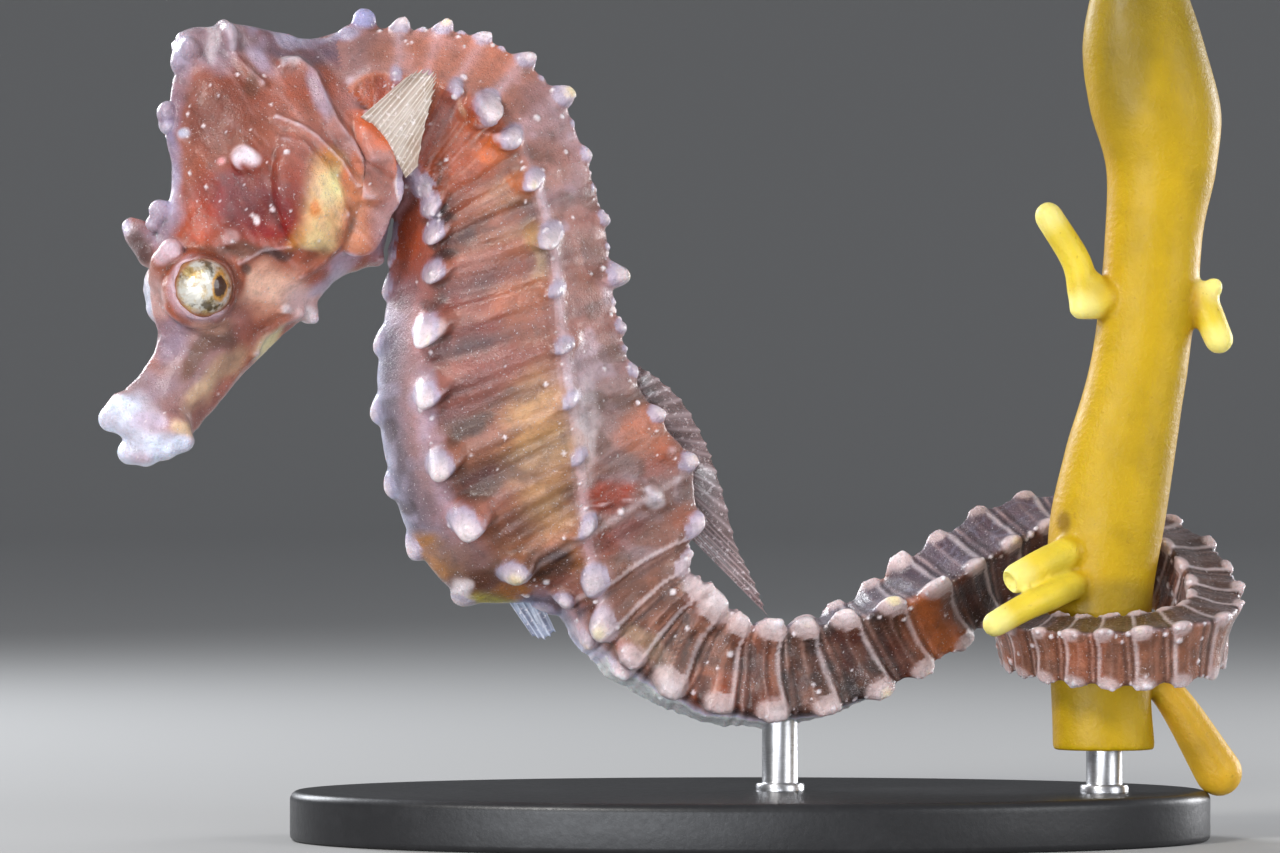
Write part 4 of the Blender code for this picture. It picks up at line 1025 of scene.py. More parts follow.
def white_dots(points, normals, places):
    """Small round granules: how far each point is raised, and how white it is."""
    chart, ring, place, side = places[:, :2], places[:, 2], places[:, 3], places[:, 4]
    head = ring < HEAD_RINGS_BELOW
    draw = np.random.default_rng(DOT_SEED)
    dots = []
    for number in range(0, 44):
        for sign in (1, -1):
            count = draw.integers(3, 7) if number < 15 else draw.integers(2, 5)
            for _ in range(count):
                low, high = (0.4, 3.3) if number < 15 else (1.9, 3.1)
                dots.append((number + draw.uniform(-0.5, 0.35), draw.uniform(low, high), sign,
                             draw.choice([0.06, 0.09, 0.12, 0.17], p=[0.45, 0.3, 0.17, 0.08])))
            for ridge in (0.95, 1.95, 2.97):
                for _ in range(3):
                    dots.append((number + draw.uniform(-0.6, 0.4), ridge + draw.uniform(-0.1, 0.1), sign,
                                 draw.choice([0.05, 0.08, 0.11])))
    lift, glow = np.zeros(len(points)), np.zeros(len(points))
    body = np.nonzero(~head)[0]
    keys = np.column_stack([ring[body], place[body], side[body] * 9])
    for at_ring, at_place, sign, radius in dots:
        close = np.nonzero((np.abs(keys[:, 0] - at_ring) < 0.12) & (np.abs(keys[:, 1] - at_place) < 0.12)
                           & (keys[:, 2] * sign > 0))[0]
        if len(close):
            best = close[np.argmin(np.abs(keys[close, 0] - at_ring) + np.abs(keys[close, 1] - at_place))]
            stamp_dot(points, points[body[best]], radius, lift, glow)
    near = np.nonzero(head & (normals[:, 1] < 0.2))[0]
    for _ in range(HEAD_DOTS):
        px, py = draw.uniform(110, 400), draw.uniform(40, 440)
        radius = draw.choice([0.05, 0.07, 0.1, 0.13], p=[0.6, 0.27, 0.1, 0.03])
        gap = ((chart[near] - (px, py)) ** 2).sum(axis=1)
        best = np.argmin(gap)
        if gap[best] < 9:
            stamp_dot(points, points[near[best]], radius, lift, glow)
    return lift, glow


def stamp_dot(points, centre, radius, lift, glow):
    gap = np.linalg.norm(points - centre, axis=1) / (radius * 1.5)
    inside = gap < 1
    lift[inside] = np.maximum(lift[inside], radius * 0.75 * (1 - gap[inside] ** 2))
    glow[inside] = np.maximum(glow[inside], 1 - gap[inside] ** 2)


def eye_place(side):
    return turned((EYE_CENTRE[0], -side * EYE_CENTRE[1], EYE_CENTRE[2]))


def eye_way(side):
    return unit(turned_way((-0.12, -side, 0.02), (EYE_CENTRE[0], -side * EYE_CENTRE[1], EYE_CENTRE[2])))


def open_eyes(points):
    """Draws the skin in under each eyeball and leaves a thin uneven rim round it."""
    for side in (1, -1):
        centre, way = eye_place(side), eye_way(side)
        offset = points - centre
        far = np.linalg.norm(offset, axis=1)
        cosine = (offset @ way) / np.maximum(far, 1e-6)
        angle = np.degrees(np.arccos(np.clip(cosine, -1, 1)))
        angle = angle + 5 * noise(points, 0.8, 51) + 2 * noise(points, 0.35, 53)
        rim = EYE_RADIUS + 0.06 + 0.07 * noise(points, 0.5, 52)
        inner = EYE_RADIUS - 0.35
        wanted = inner + (rim - inner) * ease((angle - 57) / 8)
        keep = np.maximum(ease((angle - 67) / 14), ease((far - 2.2) / 0.5))
        wanted = np.where(far < inner, far, wanted)
        new_far = wanted * (1 - keep) + far * keep
        points = centre + offset * (new_far / np.maximum(far, 1e-6))[:, None]
    return points


# Colours of the skin

BLACK = (0, 0, 0)
WHITE = (255, 255, 255)
SALMON = (196, 132, 112)
PINK_GREY = (176, 148, 152)
LAVENDER = (176, 170, 190)
PALE = (236, 228, 232)
CREAM = (238, 222, 178)
OCHRE = (192, 138, 84)
RED = (168, 78, 56)
WINE = (128, 58, 50)
BROWN = (106, 66, 50)
MAUVE = (142, 108, 104)
DARK = (56, 32, 30)
RUST = (166, 84, 58)
FAWN = (194, 164, 138)
BLUE_WHITE = (226, 232, 248)


def oval(chart, px, py, rx, ry, turn):
    """How far places are from the middle of an oval on the picture, and 1 on its edge."""
    x, y = chart[:, 0] - px, chart[:, 1] - py
    c, s = math.cos(math.radians(turn)), math.sin(math.radians(turn))
    return np.sqrt(((x * c + y * s) / rx) ** 2 + ((y * c - x * s) / ry) ** 2)


def patch(chart, px, py, rx, ry, turn):
    """A soft oval on the picture: 1 in its middle and 0 outside."""
    return 1 - between(oval(chart, px, py, rx, ry, turn), 0.4, 1.12)


# Patches of the head: pixel, half sizes, turn in degrees, colour and strength.
HEAD_PATCHES = (
    (228, 112, 54, 76, 0, (138, 74, 57), 0.9), (216, 120, 30, 36, 0, (122, 54, 38), 0.6),
    (250, 206, 76, 50, -6, (150, 34, 12), 1.0), (250, 200, 44, 38, 0, (116, 30, 12), 0.85),
    (262, 168, 34, 30, 0, (140, 66, 50), 0.7), (198, 222, 34, 34, 0, (178, 84, 56), 0.8),
    (322, 202, 30, 56, 8, (240, 206, 166), 1.0), (332, 186, 12, 24, 10, CREAM, 0.9),
    (310, 208, 8, 11, 0, (214, 130, 74), 0.8), (318, 238, 18, 16, 0, CREAM, 0.6),
    (298, 236, 14, 14, 0, OCHRE, 0.6), (352, 178, 12, 44, 8, (206, 124, 92), 0.75),
    (330, 158, 16, 20, -30, OCHRE, 0.6), (300, 128, 34, 24, 30, (186, 126, 110), 0.6),
    (374, 140, 18, 42, -38, (208, 112, 74), 0.9), (368, 126, 10, 22, -38, RED, 0.35),
    (384, 168, 16, 16, 0, (220, 120, 80), 0.7), (352, 214, 14, 44, 8, (206, 146, 118), 0.8),
    (388, 232, 22, 40, 14, LAVENDER, 0.85), (374, 215, 12, 34, 10, PINK_GREY, 0.7),
    (250, 86, 14, 14, 0, BROWN, 0.7), (322, 62, 12, 9, 0, BROWN, 0.6),
    (304, 50, 80, 20, 8, (118, 100, 112), 0.95), (286, 40, 60, 7, 6, LAVENDER, 0.8),
    (212, 50, 46, 28, 0, (162, 146, 156), 0.9), (213, 48, 8, 22, 0, PALE, 0.5),
    (180, 50, 16, 44, 0, LAVENDER, 0.95), (168, 136, 18, 84, 0, (148, 142, 168), 0.9),
    (262, 62, 12, 26, -40, LAVENDER, 0.7), (158, 212, 26, 44, 16, LAVENDER, 0.9),
    (242, 250, 26, 9, 0, BROWN, 0.8), (320, 96, 8, 30, -20, LAVENDER, 0.7),
    (276, 252, 24, 8, -6, DARK, 0.8), (268, 288, 46, 30, 0, (232, 196, 180), 1.0),
    (266, 312, 26, 14, 0, (190, 130, 110), 0.5), (302, 300, 28, 24, 0, (206, 180, 180), 0.9),
    (330, 282, 28, 14, -30, LAVENDER, 0.85), (345, 262, 30, 12, -30, LAVENDER, 0.6),
    (186, 366, 84, 40, -48, (158, 138, 142), 0.7), (220, 334, 24, 15, 30, BROWN, 0.95),
    (196, 356, 36, 12, -48, (112, 76, 56), 0.85), (172, 336, 24, 28, 0, (152, 134, 148), 0.95),
    (225, 366, 34, 15, -48, (178, 152, 130), 0.85), (152, 388, 32, 20, -30, (158, 138, 146), 0.85),
    (198, 394, 28, 14, -48, (206, 182, 156), 0.8), (122, 420, 40, 30, -20, BLUE_WHITE, 1.0),
    (148, 450, 60, 22, -8, BLUE_WHITE, 1.0), (148, 424, 18, 14, 0, (206, 190, 206), 0.8),
    (176, 424, 14, 12, 0, (222, 200, 170), 0.7), (266, 344, 26, 12, -46, (226, 224, 186), 0.9),
    (160, 296, 16, 26, 0, PALE, 0.4), (411, 182, 15, 13, 0, PALE, 1.0),
    (245, 158, 14, 13, 0, (244, 232, 240), 1.0), (391, 186, 12, 12, 0, PALE, 0.8),
    (240, 282, 9, 22, 0, (150, 70, 44), 0.95), (246, 270, 6, 10, 0, DARK, 0.7),
    (212, 252, 24, 6, 0, BROWN, 0.6), (210, 326, 24, 7, 0, (216, 176, 160), 0.7),
    (170, 250, 14, 16, 0, (226, 204, 214), 0.95), (230, 240, 8, 8, 0, (220, 190, 190), 0.8),
    (292, 66, 10, 8, 0, PALE, 0.7), (258, 222, 6, 6, 0, PALE, 0.8),
    (222, 161, 6, 6, 0, (214, 160, 160), 0.9), (189, 134, 7, 7, 0, (190, 196, 214), 0.9),
    (284, 308, 7, 7, 0, PALE, 0.8), (312, 316, 10, 10, 0, PALE, 0.8),
)
# Patches of the head's far side, where it shows past the near one: real places on the picture.
FAR_PATCHES = (
    (140, 246, 15, 24, -30, (96, 62, 58), 0.95), (124, 226, 10, 12, 0, LAVENDER, 0.9),
    (146, 296, 12, 34, -14, BLUE_WHITE, 0.8),
)
# Patches of the nape, behind the crown.
NAPE_PATCHES = (
    (364, 17, 17, 15, 0, (164, 164, 200), 0.95), (344, 33, 20, 11, 0, LAVENDER, 0.9),
)
# Patches of the trunk and of the tail's first rings, the same way.
BODY_PATCHES = (
    (372, 142, 16, 38, -38, (208, 112, 74), 0.9), (366, 130, 9, 22, -38, RED, 0.35),
    (404, 236, 26, 46, 0, RUST, 0.95), (408, 200, 20, 26, 0, DARK, 0.5), (470, 175, 44, 30, -40, RUST, 0.6),
    (455, 140, 26, 40, 20, RUST, 0.55), (498, 150, 26, 14, -20, (196, 108, 70), 0.8),
    (520, 186, 22, 12, -15, (196, 118, 84), 0.6), (500, 225, 40, 16, -22, SALMON, 0.6),
    (520, 300, 34, 60, 0, (196, 116, 84), 0.35), (540, 446, 46, 98, -4, (190, 156, 120), 0.66),
    (438, 222, 17, 8, -10, DARK, 0.9), (443, 257, 18, 8, -10, DARK, 0.9), (432, 302, 16, 10, 0, DARK, 0.75),
    (474, 347, 34, 13, -22, (74, 26, 26), 1.0), (478, 330, 44, 14, -24, WINE, 0.8),
    (466, 386, 34, 10, -20, (104, 54, 48), 0.8), (468, 428, 32, 13, -25, (86, 48, 32), 1.0),
    (516, 395, 44, 10, -20, BROWN, 0.6), (486, 488, 28, 13, -25, (86, 50, 34), 1.0),
    (512, 478, 40, 10, -25, BROWN, 0.7), (500, 440, 40, 8, -22, BROWN, 0.5),
    (548, 562, 30, 20, -30, (66, 34, 26), 1.0), (505, 360, 50, 26, -20, (136, 66, 62), 0.6),
    (470, 300, 34, 12, -15, WINE, 0.6), (560, 600, 22, 13, -30, BROWN, 0.7),
    (425, 368, 16, 14, 0, MAUVE, 0.7), (430, 330, 14, 16, 0, PALE, 0.7), (392, 428, 9, 14, 0, DARK, 0.6),
    (405, 508, 12, 10, 0, DARK, 0.6), (425, 400, 16, 60, 0, LAVENDER, 0.5),
    (437, 470, 18, 50, -10, LAVENDER, 0.6), (484, 572, 64, 34, -6, (124, 84, 62), 0.8),
    (434, 558, 40, 28, 30, (168, 122, 84), 0.9), (488, 578, 36, 14, -6, (96, 52, 26), 1.0),
    (512, 590, 24, 13, -10, (184, 124, 76), 0.95), (478, 606, 44, 17, 0, (190, 178, 96), 1.0),
    (470, 614, 18, 7, 0, (96, 84, 40), 0.6), (462, 590, 12, 14, 0, PALE, 0.9),
    (413, 560, 12, 14, 0, PALE, 0.6), (610, 494, 32, 22, -14, (160, 72, 52), 0.95),
    (604, 500, 24, 14, -20, (136, 62, 46), 0.6), (655, 498, 14, 10, 38, PALE, 0.95),
    (672, 452, 8, 6, 30, PALE, 0.5), (670, 450, 20, 14, 0, (150, 84, 62), 0.8),
    (684, 520, 20, 14, 0, (150, 92, 74), 0.7), (489, 114, 16, 4, 64, FAWN, 0.6),
    (460, 100, 18, 4, 84, FAWN, 0.6), (632, 528, 26, 12, -16, WINE, 0.5),
    (648, 430, 40, 30, -30, SALMON, 0.7), (660, 470, 26, 20, 0, RED, 0.4),
    (600, 548, 40, 20, -20, RED, 0.35), (540, 250, 14, 30, -10, CREAM, 0.3),
    (590, 420, 12, 60, 0, PALE, 0.35), (560, 100, 50, 40, 40, PINK_GREY, 0.7),
    (480, 60, 60, 30, 10, SALMON, 0.5), (420, 60, 30, 30, 0, SALMON, 0.5),
    (640, 640, 40, 16, 30, FAWN, 0.4), (400, 196, 15, 36, 8, (192, 158, 160), 0.8),
)


class Paint:
    """Colours of all points of a mesh, laid over one another. Tones are screen values of 0 to 255."""

    def __init__(self, tone, count):
        self.colour = np.tile(linear(*tone), (count, 1))

    def lay(self, other, share):
        share = np.clip(share, 0, 1)[:, None]
        self.colour = self.colour * (1 - share) + np.asarray(other) * share

    def add(self, tone, share):
        self.lay(linear(*tone), share)

    def shade(self, factor, share):
        self.lay(self.colour * factor, share)

    def patches(self, chart, rows, share=1.0):
        for px, py, rx, ry, turn, tone, strength in rows:
            self.add(tone, patch(chart, px, py, rx, ry, turn) * strength * share)


def skin_places(points, places):
    """What the colours of the skin are worked out from."""
    at = SimpleNamespace(points=points, chart=places[:, :2], ring=places[:, 2], place=places[:, 3],
                         side=places[:, 4], phase=places[:, 5], mound=places[:, 6])
    at.head = at.ring < HEAD_RINGS_BELOW
    at.tail = between(at.ring, 11.5, 14.5)
    at.under_tail = (1 - between(at.place, 0.9, 1.7)) * (1 - between(at.ring, 22, 26))
    at.mottle = noise(points, 1.6, 11) * 0.5 + noise(points, 0.7, 12) * 0.3 + noise(points, 0.32, 13) * 0.2
    at.blotch = noise(points, 3.2, 14) * 0.6 + noise(points, 1.4, 15) * 0.4
    at.flow = np.column_stack([at.ring * 9, at.place * 1.6, at.side * 7])
    at.streak = noise(at.flow, 1.0, 22) * 0.6 + noise(at.flow * (2.2, 1.7, 1), 1.0, 23) * 0.4
    at.wobble = at.chart + np.column_stack([noise(points, 1.0, 31), noise(points, 1.0, 32)]) * 7
    return at


def trunk_paint(at):
    """Salmon flanks with painted shade in the furrows between the rings and painted highlights along the
    folds, a grey-violet keel and a pale mauve back.
    """
    points, ring, place, phase = at.points, at.ring, at.place, at.phase
    mottle, blotch, streak, flow = at.mottle, at.blotch, at.streak, at.flow
    flank = between(place, 0.85, 1.15) * (1 - between(place, 1.9, 2.05))
    back = between(place, 1.98, 2.12)
    keel = (1 - between(place, 0.2, 0.9)) * between(ring, 4, 6)
    paint = Paint(SALMON, len(points))
    paint.add(PINK_GREY, (1 - between(place, 0.75, 1.15)) * (0.8 + 0.4 * blotch))
    paint.add((176, 126, 122), (1 - between(place, 0.9, 1.15)) * between(blotch, -0.1, 0.4) * 0.6)
    paint.add((108, 102, 116), keel * 0.92)
    paint.add((76, 62, 74), keel * spots(points, 1.7, 33, -0.1, 0.4) * 0.6)
    paint.add((168, 160, 176), keel * spots(points, 0.9, 37, 0.1, 0.5) * 0.5)
    # Painted glow: pale blue-white along the very edge of the keel, standing for light through its thin edge.
    paint.add((196, 200, 220), (1 - between(place, 0.05, 0.3)) * between(ring, 4, 6) * 0.5)
    paint.add(RUST, (1 - between(ring, 5.0, 7.2)) * (1 - between(place, 1.0, 1.7)) * 0.8)
    paint.add(OCHRE, flank * between(place, 1.3, 1.8) * (0.6 + 0.6 * blotch) * between(ring, 3.5, 6.0))
    paint.add(RUST, flank * (1 - between(ring, 3.0, 5.0)) * (0.6 + 0.5 * blotch))
    paint.add(OCHRE, between(ring, 8, 10) * flank * 0.4)
    paint.add((156, 122, 120), back * (0.8 + 0.3 * blotch))
    paint.add(PINK_GREY, back * spots(points, 1.8, 24, -0.1, 0.4) * 0.7)
    paint.add((196, 182, 196), back * spots(points, 0.9, 34, 0.2, 0.6) * 0.45)
    paint.add((172, 116, 96), back * spots(points, 2.6, 35, 0.1, 0.5) * 0.5)
    paint.add(BROWN, back * spots(points, 1.1, 25, 0.25, 0.5) * 0.5)
    seam = (1 - ring_wave(phase)) ** 6 * back * (ring > 0.5)
    paint.add((112, 76, 74), seam * (0.4 + 0.6 * mottle))
    neck = back * (1 - between(ring, 3.0, 5.0)) * between(ring, -1.0, 0.5)
    paint.add((190, 138, 122), neck * 0.45)
    paint.add((196, 176, 184), neck * ring_wave(phase) ** 4 * 0.7)
    # Painted shade: dark brown in the furrow between each two ring folds, deeper in places.
    furrow_shade = (1 - ring_wave(phase)) ** 1.5 * flank * between(ring, 3.0, 5.5)
    deep = spots(np.column_stack([ring * 0.9, place * 1.2, at.side * 7]), 1.0, 39, -0.35, 0.35)
    paint.add((104, 44, 34), furrow_shade * (0.35 + 0.75 * deep))
    # Painted highlight: pale pink along the crest of each ring's fold.
    fold = ring_wave(phase, 0.62) ** 3 * flank * between(ring, 3.0, 5.5)
    paint.add((214, 160, 150), fold * (0.5 + 0.4 * mottle))
    paint.add((206, 192, 202), bell(place, 2.02, 0.09) * between(ring, 3.5, 6.0) * (0.75 + 0.5 * mottle))
    fine = 1 - 0.55 * between(ring, 3.5, 6.0)
    paint.add(WINE, flank * between(streak, 0.06, 0.5) * 0.45 * fine)
    paint.add(BROWN, flank * spots(flow * (1.0, 1.5, 1.0), 1.0, 27, 0.2, 0.6) * 0.4 * fine)
    paint.add(PALE, flank * between(-streak, 0.15, 0.55) * 0.28 * fine)
    paint.add((184, 128, 128), flank * spots(flow * (0.16, 0.5, 1.0), 1.0, 38, 0.0, 0.6) * 0.4)
    paint.shade(0.7, flank * between(ring, 2.5, 5.0))
    paint.shade((0.72, 0.72, 0.67), back * between(ring, 7.5, 10.0))
    paint.shade((0.97, 0.92, 0.86), flank * (1 - between(ring, 7.0, 9.0)))
    return paint


def tail_paint(at):
    """Brown plates parted by pale lines, netted lavender on top, and bluish white below, lightened past its
    own colour as painted light.
    """
    points, ring, place, phase, streak = at.points, at.ring, at.place, at.phase, at.streak
    top, wrapped = between(place, 2.9, 3.15), between(ring, 24, 28)
    paint = Paint((134, 84, 64), len(points))
    paint.add((94, 50, 31), 0.55 + 0.5 * at.blotch)
    paint.add(RUST, spots(points, 2.4, 16, -0.1, 0.45) * 0.45)
    paint.add(DARK, between(streak, 0.1, 0.5) * 0.35)
    paint.add((196, 150, 136), between(-streak, 0.1, 0.5) * 0.4)
    paint.add((184, 132, 112), spots(points, 0.6, 40, 0.1, 0.5) * 0.35)
    paint.add((58, 34, 26), spots(points, 0.8, 41, 0.15, 0.5) * 0.55)
    net = np.abs(noise(np.column_stack([ring * 3.2, place * 2.2, at.side * 5]), 1.0, 30))
    paint.add((142, 128, 146), top * (0.75 - 0.5 * wrapped))
    paint.add(LAVENDER, top * (1 - between(net, 0.03, 0.12)) * (0.6 - 0.4 * wrapped))
    paint.add((84, 54, 38), top * between(ring, 25, 28) * 0.9)
    paint.add((176, 126, 104), between(ring, 29, 31) * (1 - top) * 0.4)
    # Bluish white below: the underside's own pale colour, made paler as painted light.
    paint.add((220, 222, 240), (1 - between(place, 0.9, 1.8)) * 0.95)
    paint.shade(0.52, between(ring, 16, 19) * (1 - between(ring, 24, 27)) * between(place, 1.5, 2.1))
    groove = bell(phase, 0.9, 0.04) + bell(phase, 0.1, 0.04)
    paint.add(DARK, groove * 0.5 * (1 - 0.8 * at.under_tail))
    line = bell(past_edge(phase), 0, 0.035) + 0.8 * bell(phase, 0.8, 0.035) + 0.5 * bell(phase, 0.42, 0.035)
    line = line * (1 - between(at.mound, 0.02, 0.3)) * (1 - 0.7 * top * wrapped)
    paint.add((204, 180, 174), line * (0.32 + 0.4 * at.mottle))
    warm = bell(ring, 20.6, 0.5) * between(place, 1.2, 2.0) * (1 - between(place, 3.0, 3.3))
    paint.add((190, 118, 84), warm * 0.8)
    return paint


def head_paint(at, shown):
    points, mottle = at.points, at.mottle
    grain = noise(head_grain(at.chart), 1.0, 28) * 0.6 + noise(head_grain(at.chart) * 2.1, 1.0, 29) * 0.4
    above_eye = 1 - between(at.chart[:, 1], 250, 320)
    paint = Paint((160, 98, 80), len(points))
    paint.add(PINK_GREY, 0.2 + 0.5 * at.blotch)
    paint.add(RUST, spots(points, 1.5, 26, 0.1, 0.5) * 0.4)
    paint.patches(at.wobble, HEAD_PATCHES, 0.9 + 0.4 * mottle)
    paint.shade(0.5, between(grain, 0.1, 0.5) * 0.25 * above_eye)
    paint.add(PALE, between(-grain, 0.15, 0.55) * 0.1 * above_eye)
    paint.patches(shown, FAR_PATCHES, at.side < 0.5)
    return paint


def paint_tubercles(paint, at):
    """Lavender and cream over the tubercles of the trunk and tail."""
    body = ~at.head
    halo = Paint(LAVENDER, len(at.points))
    halo.add((212, 190, 181), at.tail * 0.7)
    paint.lay(halo.colour, body * between(at.mound, 0.01, 0.3) * 0.78)
    paint.add((230, 218, 220), body * between(at.mound, 0.16 + 0.16 * at.tail, 0.95 + 0.02 * at.tail) * 0.92)
    paint.add(CREAM, body * between(at.mound, 0.6, 0.95) * spots(at.points, 2.5, 17, 0.1, 0.5) * 0.7)


def paint_lids(paint, points):
    """A pale lid in front of each eye and a dark red one behind it."""
    for side in (1, -1):
        offset = points - eye_place(side)
        far = np.linalg.norm(offset, axis=1)
        angle = np.degrees(np.arccos(np.clip(offset @ eye_way(side) / np.maximum(far, 1e-6), -1, 1)))
        lid = between(angle, 50, 58) * (1 - between(angle, 68, 82)) * (far < 2.5)
        behind = between(offset[:, 0] * 0.8 + offset[:, 2] * 0.45 + 0.3 * noise(points, 0.5, 36), 0.1, 0.9)
        paint.add((190, 164, 172), lid * (1 - behind) * 0.7)
        paint.add((124, 62, 40), lid * behind * 0.95)


def skin_colour(points, places, sharp, broad, glow):
    """The skin's colours, from its places, how sharply and broadly it bends, and its white granules; the
    bends give painted shade in creases and hollows and painted highlights on edges and bulges.
    """
    at = skin_places(points, places)
    paint = trunk_paint(at)
    tail = at.tail[:, None]
    paint.colour = paint.colour * (1 - tail) + tail_paint(at).colour * tail
    uneven = np.clip(0.85 + 0.5 * at.mottle + 0.3 * at.streak, 0, 1.1)
    paint.patches(at.wobble, BODY_PATCHES, (at.ring < PATCHED_RINGS_BELOW) * uneven)
    shown = photo_place(points) + (at.wobble - at.chart) * 0.5
    paint.colour = np.where(at.head[:, None], head_paint(at, shown).colour, paint.colour)
    paint.patches(shown, NAPE_PATCHES)

    # Painted shade: dark in sharp creases, less so under the tail, and darker again in broad hollows.
    paint.add(DARK, between(-sharp, 0.02, 0.16) * 0.6 * (1 - 0.75 * at.tail * at.under_tail))
    paint.shade(0.5, between(-broad, 0.012, 0.08) * 0.7)
    # Painted highlights: pale on sharp ridges and edges, less on the top of the coil, and a lavender glow on
    # broad bulges.
    coil_top = between(at.place, 2.95, 3.1) * between(at.ring, 25, 28)
    paint.add(PALE, between(sharp, 0.03, 0.17) * np.where(at.head, 0.5, 0.6 - 0.4 * coil_top))
    paint.add(LAVENDER, between(broad, 0.03, 0.1) * 0.3)
    rim = between(at.phase, 0.68, 0.77) * (1 - between(at.phase, 0.8, 0.88)) * ~at.head
    paint.add(PALE, rim * between(at.ring, 10, 12.5) * 0.4 * between(at.place, 0.6, 1.2))
    paint_tubercles(paint, at)
    paint.add(PALE, between(glow, 0.25, 0.9) * 0.85)
    paint.colour = paint.colour * (1 + 0.26 * at.mottle[:, None]) ** 1.15 * 0.92
    paint_lids(paint, points)

    light = paint.colour.mean(axis=1, keepdims=True)
    colour = light + (paint.colour - light) * SATURATION
    colour = colour * np.clip((light / 0.26) ** 0.3, 0.5, 1.12)
    # Painted light: the tail's underside, in shade below the tail, brightened by up to 60 percent.
    colour = colour * (1 + 0.6 * (at.tail * at.under_tail)[:, None])
    return np.clip(colour, 0.004, 0.96)


# Materials

class Nodes:
    """Short ways to add and join a material's nodes."""

    def __init__(self, name):
        self.material = bpy.data.materials.new(name)
        self.material.use_nodes = True
        self.tree = self.material.node_tree
        self.shader = self.tree.nodes["Principled BSDF"]

    def add(self, kind, **values):
        node = self.tree.nodes.new(kind)
        for key, value in values.items():
            if key in node.inputs and not hasattr(node, key):
                node.inputs[key].default_value = value
            else:
                setattr(node, key, value)
        return node

    def join(self, start, end):
        self.tree.links.new(start, end)

    def place(self):
        """Places on the object, in millimetres."""
        source = self.add("ShaderNodeTexCoord")
        mapping = self.add("ShaderNodeMapping")
        mapping.inputs["Scale"].default_value = (1.0 / MM,) * 3
        self.join(source.outputs["Object"], mapping.inputs["Vector"])
        return mapping.outputs["Vector"]

    def cloud(self, vector, scale, detail, rough, low, high, to_low=0.0, to_high=1.0):
        """Noise stretched to a range."""
        texture = self.add("ShaderNodeTexNoise")
        texture.inputs["Scale"].default_value = scale
        texture.inputs["Detail"].default_value = detail
        texture.inputs["Roughness"].default_value = rough
        self.join(vector, texture.inputs["Vector"])
        return self.stretch(texture.outputs["Fac"], low, high, to_low, to_high)

    def stretch(self, value, low, high, to_low=0.0, to_high=1.0):
        node = self.add("ShaderNodeMapRange")
        for key, number in (("From Min", low), ("From Max", high), ("To Min", to_low), ("To Max", to_high)):
            node.inputs[key].default_value = number
        self.join(value, node.inputs["Value"])
        return node.outputs["Result"]

    def math(self, operation, a, b):
        node = self.add("ShaderNodeMath", operation=operation)
        for slot, value in zip(node.inputs, (a, b)):
            if isinstance(value, (int, float)):
                slot.default_value = value
            else:
                self.join(value, slot)
        return node.outputs["Value"]

    def mix(self, share, a, b, way="MIX"):
        """Mixes two colours, each a socket or screen values of 0 to 255."""
        node = self.add("ShaderNodeMix", data_type="RGBA", blend_type=way)
        for slot, value in zip((node.inputs[0], node.inputs[6], node.inputs[7]), (share, a, b)):
            if isinstance(value, (int, float)):
                slot.default_value = value
            elif isinstance(value, tuple):
                slot.default_value = (*linear(*value), 1)
            else:
                self.join(value, slot)
        return node.outputs[2]

    def bump(self, height, strength, distance, normal=None):
        node = self.add("ShaderNodeBump")
        node.inputs["Strength"].default_value = strength
        node.inputs["Distance"].default_value = distance * MM
        self.join(height, node.inputs["Height"])
        if normal is not None:
            self.join(normal, node.inputs["Normal"])
        return node.outputs["Normal"]

    def set(self, **values):
        for key, value in values.items():
            socket = self.shader.inputs[key.replace("_", " ")]
            if isinstance(value, bpy.types.NodeSocket):
                self.join(value, socket)
            else:
                socket.default_value = value


def skin_material():
    n = Nodes("skin")
    place = n.place()
    tone = n.add("ShaderNodeAttribute", attribute_name="tone").outputs["Color"]
    mottle = n.cloud(place, 2.6, 4, 0.6, 0.3, 0.7, 0.76, 1.2)
    colour = n.mix(1.0, tone, n.mix(mottle, BLACK, WHITE), "MULTIPLY")
    freckle = n.cloud(place, 9.0, 2, 0.5, 0.6, 0.7)
    colour = n.mix(n.math("MULTIPLY", freckle, 0.3), colour, (96, 56, 48))
    fleck = n.cloud(place, 9.0, 1, 0.5, 0.68, 0.74)
    colour = n.mix(n.math("MULTIPLY", fleck, 0.45), colour, PALE)
    fine = n.cloud(place, 7.0, 4, 0.65, 0.2, 0.8)
    grain = n.cloud(place, 18.0, 2, 0.6, 0.3, 0.7)
    normal = n.bump(fine, 0.8, 0.07)
    normal = n.bump(grain, 0.5, 0.025, normal)
    normal = n.bump(fleck, 0.5, 0.05, normal)
    wet = n.bump(fine, 0.5, 0.035)
    n.set(Base_Color=colour, Roughness=n.cloud(place, 5.0, 3, 0.6, 0.3, 0.7, 0.3, 0.55), Normal=normal,
          Subsurface_Weight=0.35, Subsurface_Radius=(1.0, 0.5, 0.38), Subsurface_Scale=0.0005,
          Coat_Weight=0.8, Coat_Roughness=0.12, Coat_IOR=1.4, Coat_Normal=wet,
          Sheen_Weight=0.13, Sheen_Roughness=0.25, Sheen_Tint=(0.86, 0.84, 0.96, 1))
    return n.material


